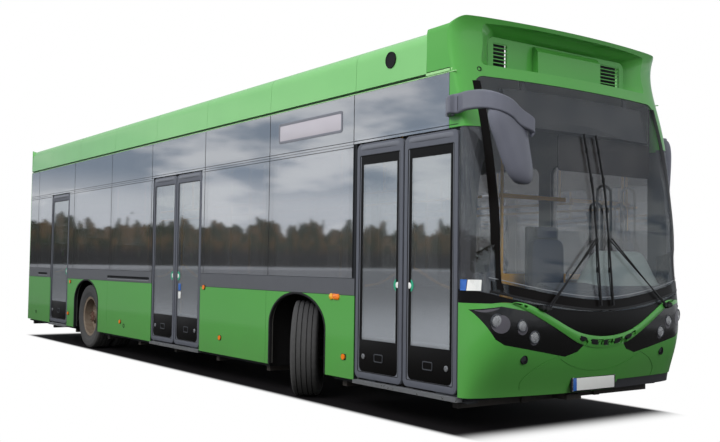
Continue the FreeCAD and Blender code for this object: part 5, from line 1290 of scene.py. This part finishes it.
HUMP_START, HUMP_LENGTH, HUMP_RISE = 0.06, 1.08, 0.36
HUMP_SECTION = ((5.425, 1.06, 0), (5.430, 1.09, 0.16), (5.450, 1.09, HUMP_RISE),
                (5.490, 1.12, HUMP_RISE), (5.545, 1.10, HUMP_RISE), (5.610, 1.10, 0.20),
                (5.680, 1.09, 0), (5.700, 1.05, 0))
HUMP_RAMPS = (0.02, 1.18)
ROLL_START, ROLL_LENGTH, ROLL_HALF, ROLL_TALL, ROLL_HEIGHT = -0.40, 1.50, 0.05, 0.035, 1.085
VISOR_LOW, VISOR_HIGH, VISOR_FACES = (-0.15, 2.15), (1.08, 2.464), (5.500, 5.512)
HOOPS = ((4.975, 0.985, 1.185, 2.12), (4.875, 1.000, 1.170, 1.96))


def make_dash():
    """Rounded hump over the instruments, a padded roll, a sun visor and two cab hoops."""
    rings = []
    for i in range(25):
        y = HUMP_START + HUMP_LENGTH * i / 24
        ramps = ((y - HUMP_RAMPS[0]) / 0.36, (HUMP_RAMPS[1] - y) / 0.24)
        swell = min(max(ramps[0], 0.0), max(ramps[1], 0.0), 1.0)
        swell = swell * swell * (3 - 2 * swell)
        rings.append([Vector((x, y, z + rise * swell)) for x, z, rise in HUMP_SECTION])
    Form().rings(rings).piece("dash_hump", "hump", soften=1)
    rings = []
    for i in range(25):
        y = ROLL_START + ROLL_LENGTH * i / 24
        x = 5.70 - 0.07 * y * y
        rings.append([Vector((x + ROLL_HALF * right, y, ROLL_HEIGHT + ROLL_TALL * up))
                      for right, up in circle(12)])
    Form().rings(rings).piece("dash_roll", "dash")
    outline = rounded_outline(VISOR_LOW, VISOR_HIGH, 0.035, 5)
    Form().rings([[Vector((x, y, z)) for y, z in outline] for x in VISOR_FACES]).piece(
        "sun_visor", "visor", bevel=0.002)
    hoop = Form()
    for x, y0, y1, top in HOOPS:
        rise = [(y0, 0.475), (y0, 1.30), (y0, top - 0.12), (y0 + 0.02, top - 0.03),
                (y0 + 0.08, top)]
        fall = [(y0 + y1 - y, z) for y, z in rise[::-1]]
        hoop.tube(smooth_line([(x, y, z) for y, z in rise + fall], 4), 0.014, 10)
    hoop.piece("cab_hoops", "visor")


# Seats

def pad_rings(low, high, axis, crown):
    """Rings of a crowned pad whose sides draw in between its corners."""
    low, high = Vector(low), Vector(high)
    centre, half = (low + high) / 2, (high - low) / 2
    u, v = [i for i in range(3) if i != axis]
    rings = []
    for inset, share in ((0.05, -1.0), (0.012, -0.92), (0.0, -0.5), (0.0, 0.2), (0.02, 0.62),
                         (0.09, 0.88), (0.28, 1.0), (0.55, 1.0 + crown * 0.6),
                         (0.85, 1.0 + crown)):
        ring = []
        for right, up in circle(40):
            draw = 1 - 0.022 * (right * right - up * up) ** 2 * (1 - inset)
            point = centre.copy()
            for place, turn in ((u, right), (v, up)):
                edge = math.copysign(abs(turn) ** 0.36, turn)
                point[place] += half[place] * edge * draw * (1 - inset)
            point[axis] += half[axis] * share
            ring.append(point)
        rings.append(ring)
    return rings


def make_pad(name, low, high, axis, crown=0.16):
    """One upholstered pad with a welt round its edge."""
    rings = pad_rings(low, high, axis, crown)
    pad = Form().rings(rings).tube(rings[4], 0.0032, 6, loop=True).piece(name, "cloth")


SEAT_WIDTH, SEAT_PITCH = 0.440, 0.760
LEFT_SEATS, RIGHT_SEATS = 0.755, -1.195
BENCH_SEATS = (-1.180, -0.700, -0.220, 0.260, 0.740)


class SeatKind:
    """Profile of a seat, front to back and up, from its own start and the road."""

    def __init__(self, shells, pad, back, leg=None):
        self.shells, self.pad, self.back, self.leg = shells, pad, back, leg

    def place(self, form, x, y, number):
        for x0, z0, x1, z1, bevel in self.shells:
            form.box((x + x0, y + 0.004, z0), (x + x1, y + SEAT_WIDTH - 0.004, z1), bevel)
        if self.leg:
            form.box((x + 0.120, y + 0.160, self.leg), (x + 0.300, y + 0.240, 0.662), 0.012)
        x0, z0, x1, z1 = self.pad
        make_pad(f"seat_pad_{number}", (x + x0, y + 0.012, z0),
                 (x + x1, y + SEAT_WIDTH - 0.012, z1), 2)
        x0, z0, x1, z1 = self.back
        make_pad(f"seat_back_{number}", (x + x0, y + 0.014, z0),
                 (x + x1, y + SEAT_WIDTH - 0.014, z1), 0, 0.05)


ROW_SEAT = SeatKind(((0.005, 0.660, 0.428, 0.684, 0.010), (-0.040, 0.660, -0.006, 1.248, 0.016)),
                    (0.018, 0.685, 0.424, 0.727), (-0.005, 0.750, 0.027, 1.236), leg=0.290)
ARCH_SEAT = SeatKind(((-0.216, 1.086, 0.218, 1.108, 0.009), (-0.258, 1.086, -0.232, 1.683, 0.012)),
                     (-0.200, 1.109, 0.214, 1.152), (-0.231, 1.170, -0.202, 1.672))
BENCH_SEAT = SeatKind(((0.292, 1.011, 0.778, 1.034, 0.010), (0.233, 1.011, 0.258, 1.628, 0.012)),
                      (0.300, 1.035, 0.774, 1.077), (0.259, 1.090, 0.288, 1.616))


def seat_places():
    """Kind and low corner of each passenger seat."""
    for n in range(4):
        yield ROW_SEAT, REAR + 4.600 + SEAT_PITCH * n, LEFT_SEATS
    for n in range(2):
        yield ROW_SEAT, REAR + 7.400 + SEAT_PITCH * n, LEFT_SEATS
        yield ROW_SEAT, REAR + 4.180 + SEAT_PITCH * n, RIGHT_SEATS
    for axle in AXLES:
        for y in (RIGHT_SEATS, LEFT_SEATS):
            yield ARCH_SEAT, axle, y
    for y in BENCH_SEATS:
        yield BENCH_SEAT, REAR, y


def make_seats():
    """Shells and legs as one piece, with a cloth pad on each seat and back."""
    shells = Form()
    for number, (kind, x, y) in enumerate(seat_places()):
        kind.place(shells, x, y, number)
    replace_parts(shells.piece("seat_shells", "shell"), "seats")


DRIVER_PLACE = FRONT - 1.330


def make_driver_seat():
    x = DRIVER_PLACE
    base = Form()
    base.box((x + 0.120, 0.580, 0.470), (x + 0.380, 0.820, 0.852), 0.020)
    base.box((x + 0.010, 0.470, 0.850), (x + 0.490, 0.930, 0.880), 0.014)
    base.box((x - 0.058, 0.476, 0.900), (x - 0.020, 0.924, 1.716), 0.018)
    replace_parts(base.piece("driver_seat_frame", "shell"), "driver_seat")
    make_pad("driver_pad", (x + 0.006, 0.464, 0.881), (x + 0.494, 0.936, 0.955), 2)
    make_pad("driver_back", (x - 0.019, 0.474, 0.965), (x + 0.066, 0.926, 1.600), 0, 0.03)
    make_pad("driver_headrest", (x - 0.019, 0.560, 1.608), (x + 0.046, 0.840, 1.716), 0, 0.03)


# Rear

LOUVRES, LOUVRE_PITCH, LOUVRE_LOW, LOUVRE_TILT = 9, 0.036, 0.66, 24
BUMPER_SECTION = ((0.004, 0.39), (-0.004, 0.40), (-0.006, 0.43), (-0.004, 0.545), (0.004, 0.55))


def make_rear_details():
    """Louvres and grip of the rear lid, and the dark strip below it."""
    louvres = Form()
    tilt = Matrix.Rotation(math.radians(LOUVRE_TILT), 3, "Y")
    for i in range(LOUVRES):
        z = LOUVRE_LOW + i * LOUVRE_PITCH
        louvres.box((REAR - 0.006, -0.62, z - 0.007), (REAR + 0.006, 0.62, z + 0.007), 0.002,
                    tilt)
    louvres.piece("lid_louvres", "grille", "rear_lid")
    grip = [(REAR - 0.002, -0.10, 1.02), (REAR - 0.020, -0.085, 1.02),
            (REAR - 0.020, 0.085, 1.02), (REAR - 0.002, 0.10, 1.02)]
    Form().tube(smooth_line(grip, 5), 0.008, 10).piece("lid_handle", "soft", "rear_lid")
    rows = [[Vector((REAR + x, -1.16 + 2.32 * i / 12, z)) for x, z in BUMPER_SECTION]
            for i in range(13)]
    Form().rings(rows).piece("rear_bumper_strip", "soft")


for make in (make_camera, make_world, make_lights, make_floor, dress_nodes, make_wheels):
    make()
for leaf in LEAVES:
    make_leaf_details(leaf)
for make in (make_middle_labels, make_arch_rims, make_side_lamps, make_vents, make_side_sign,
             make_seams, make_gutters, make_sill_strips, make_headlamp_details, make_smile,
             make_scoop_vents, make_mirror_trim, make_dash, make_seats, make_driver_seat,
             make_plates, make_corner_patch, make_screen_lines, make_frit,
             make_wiper_details, make_rear_details):
    make()
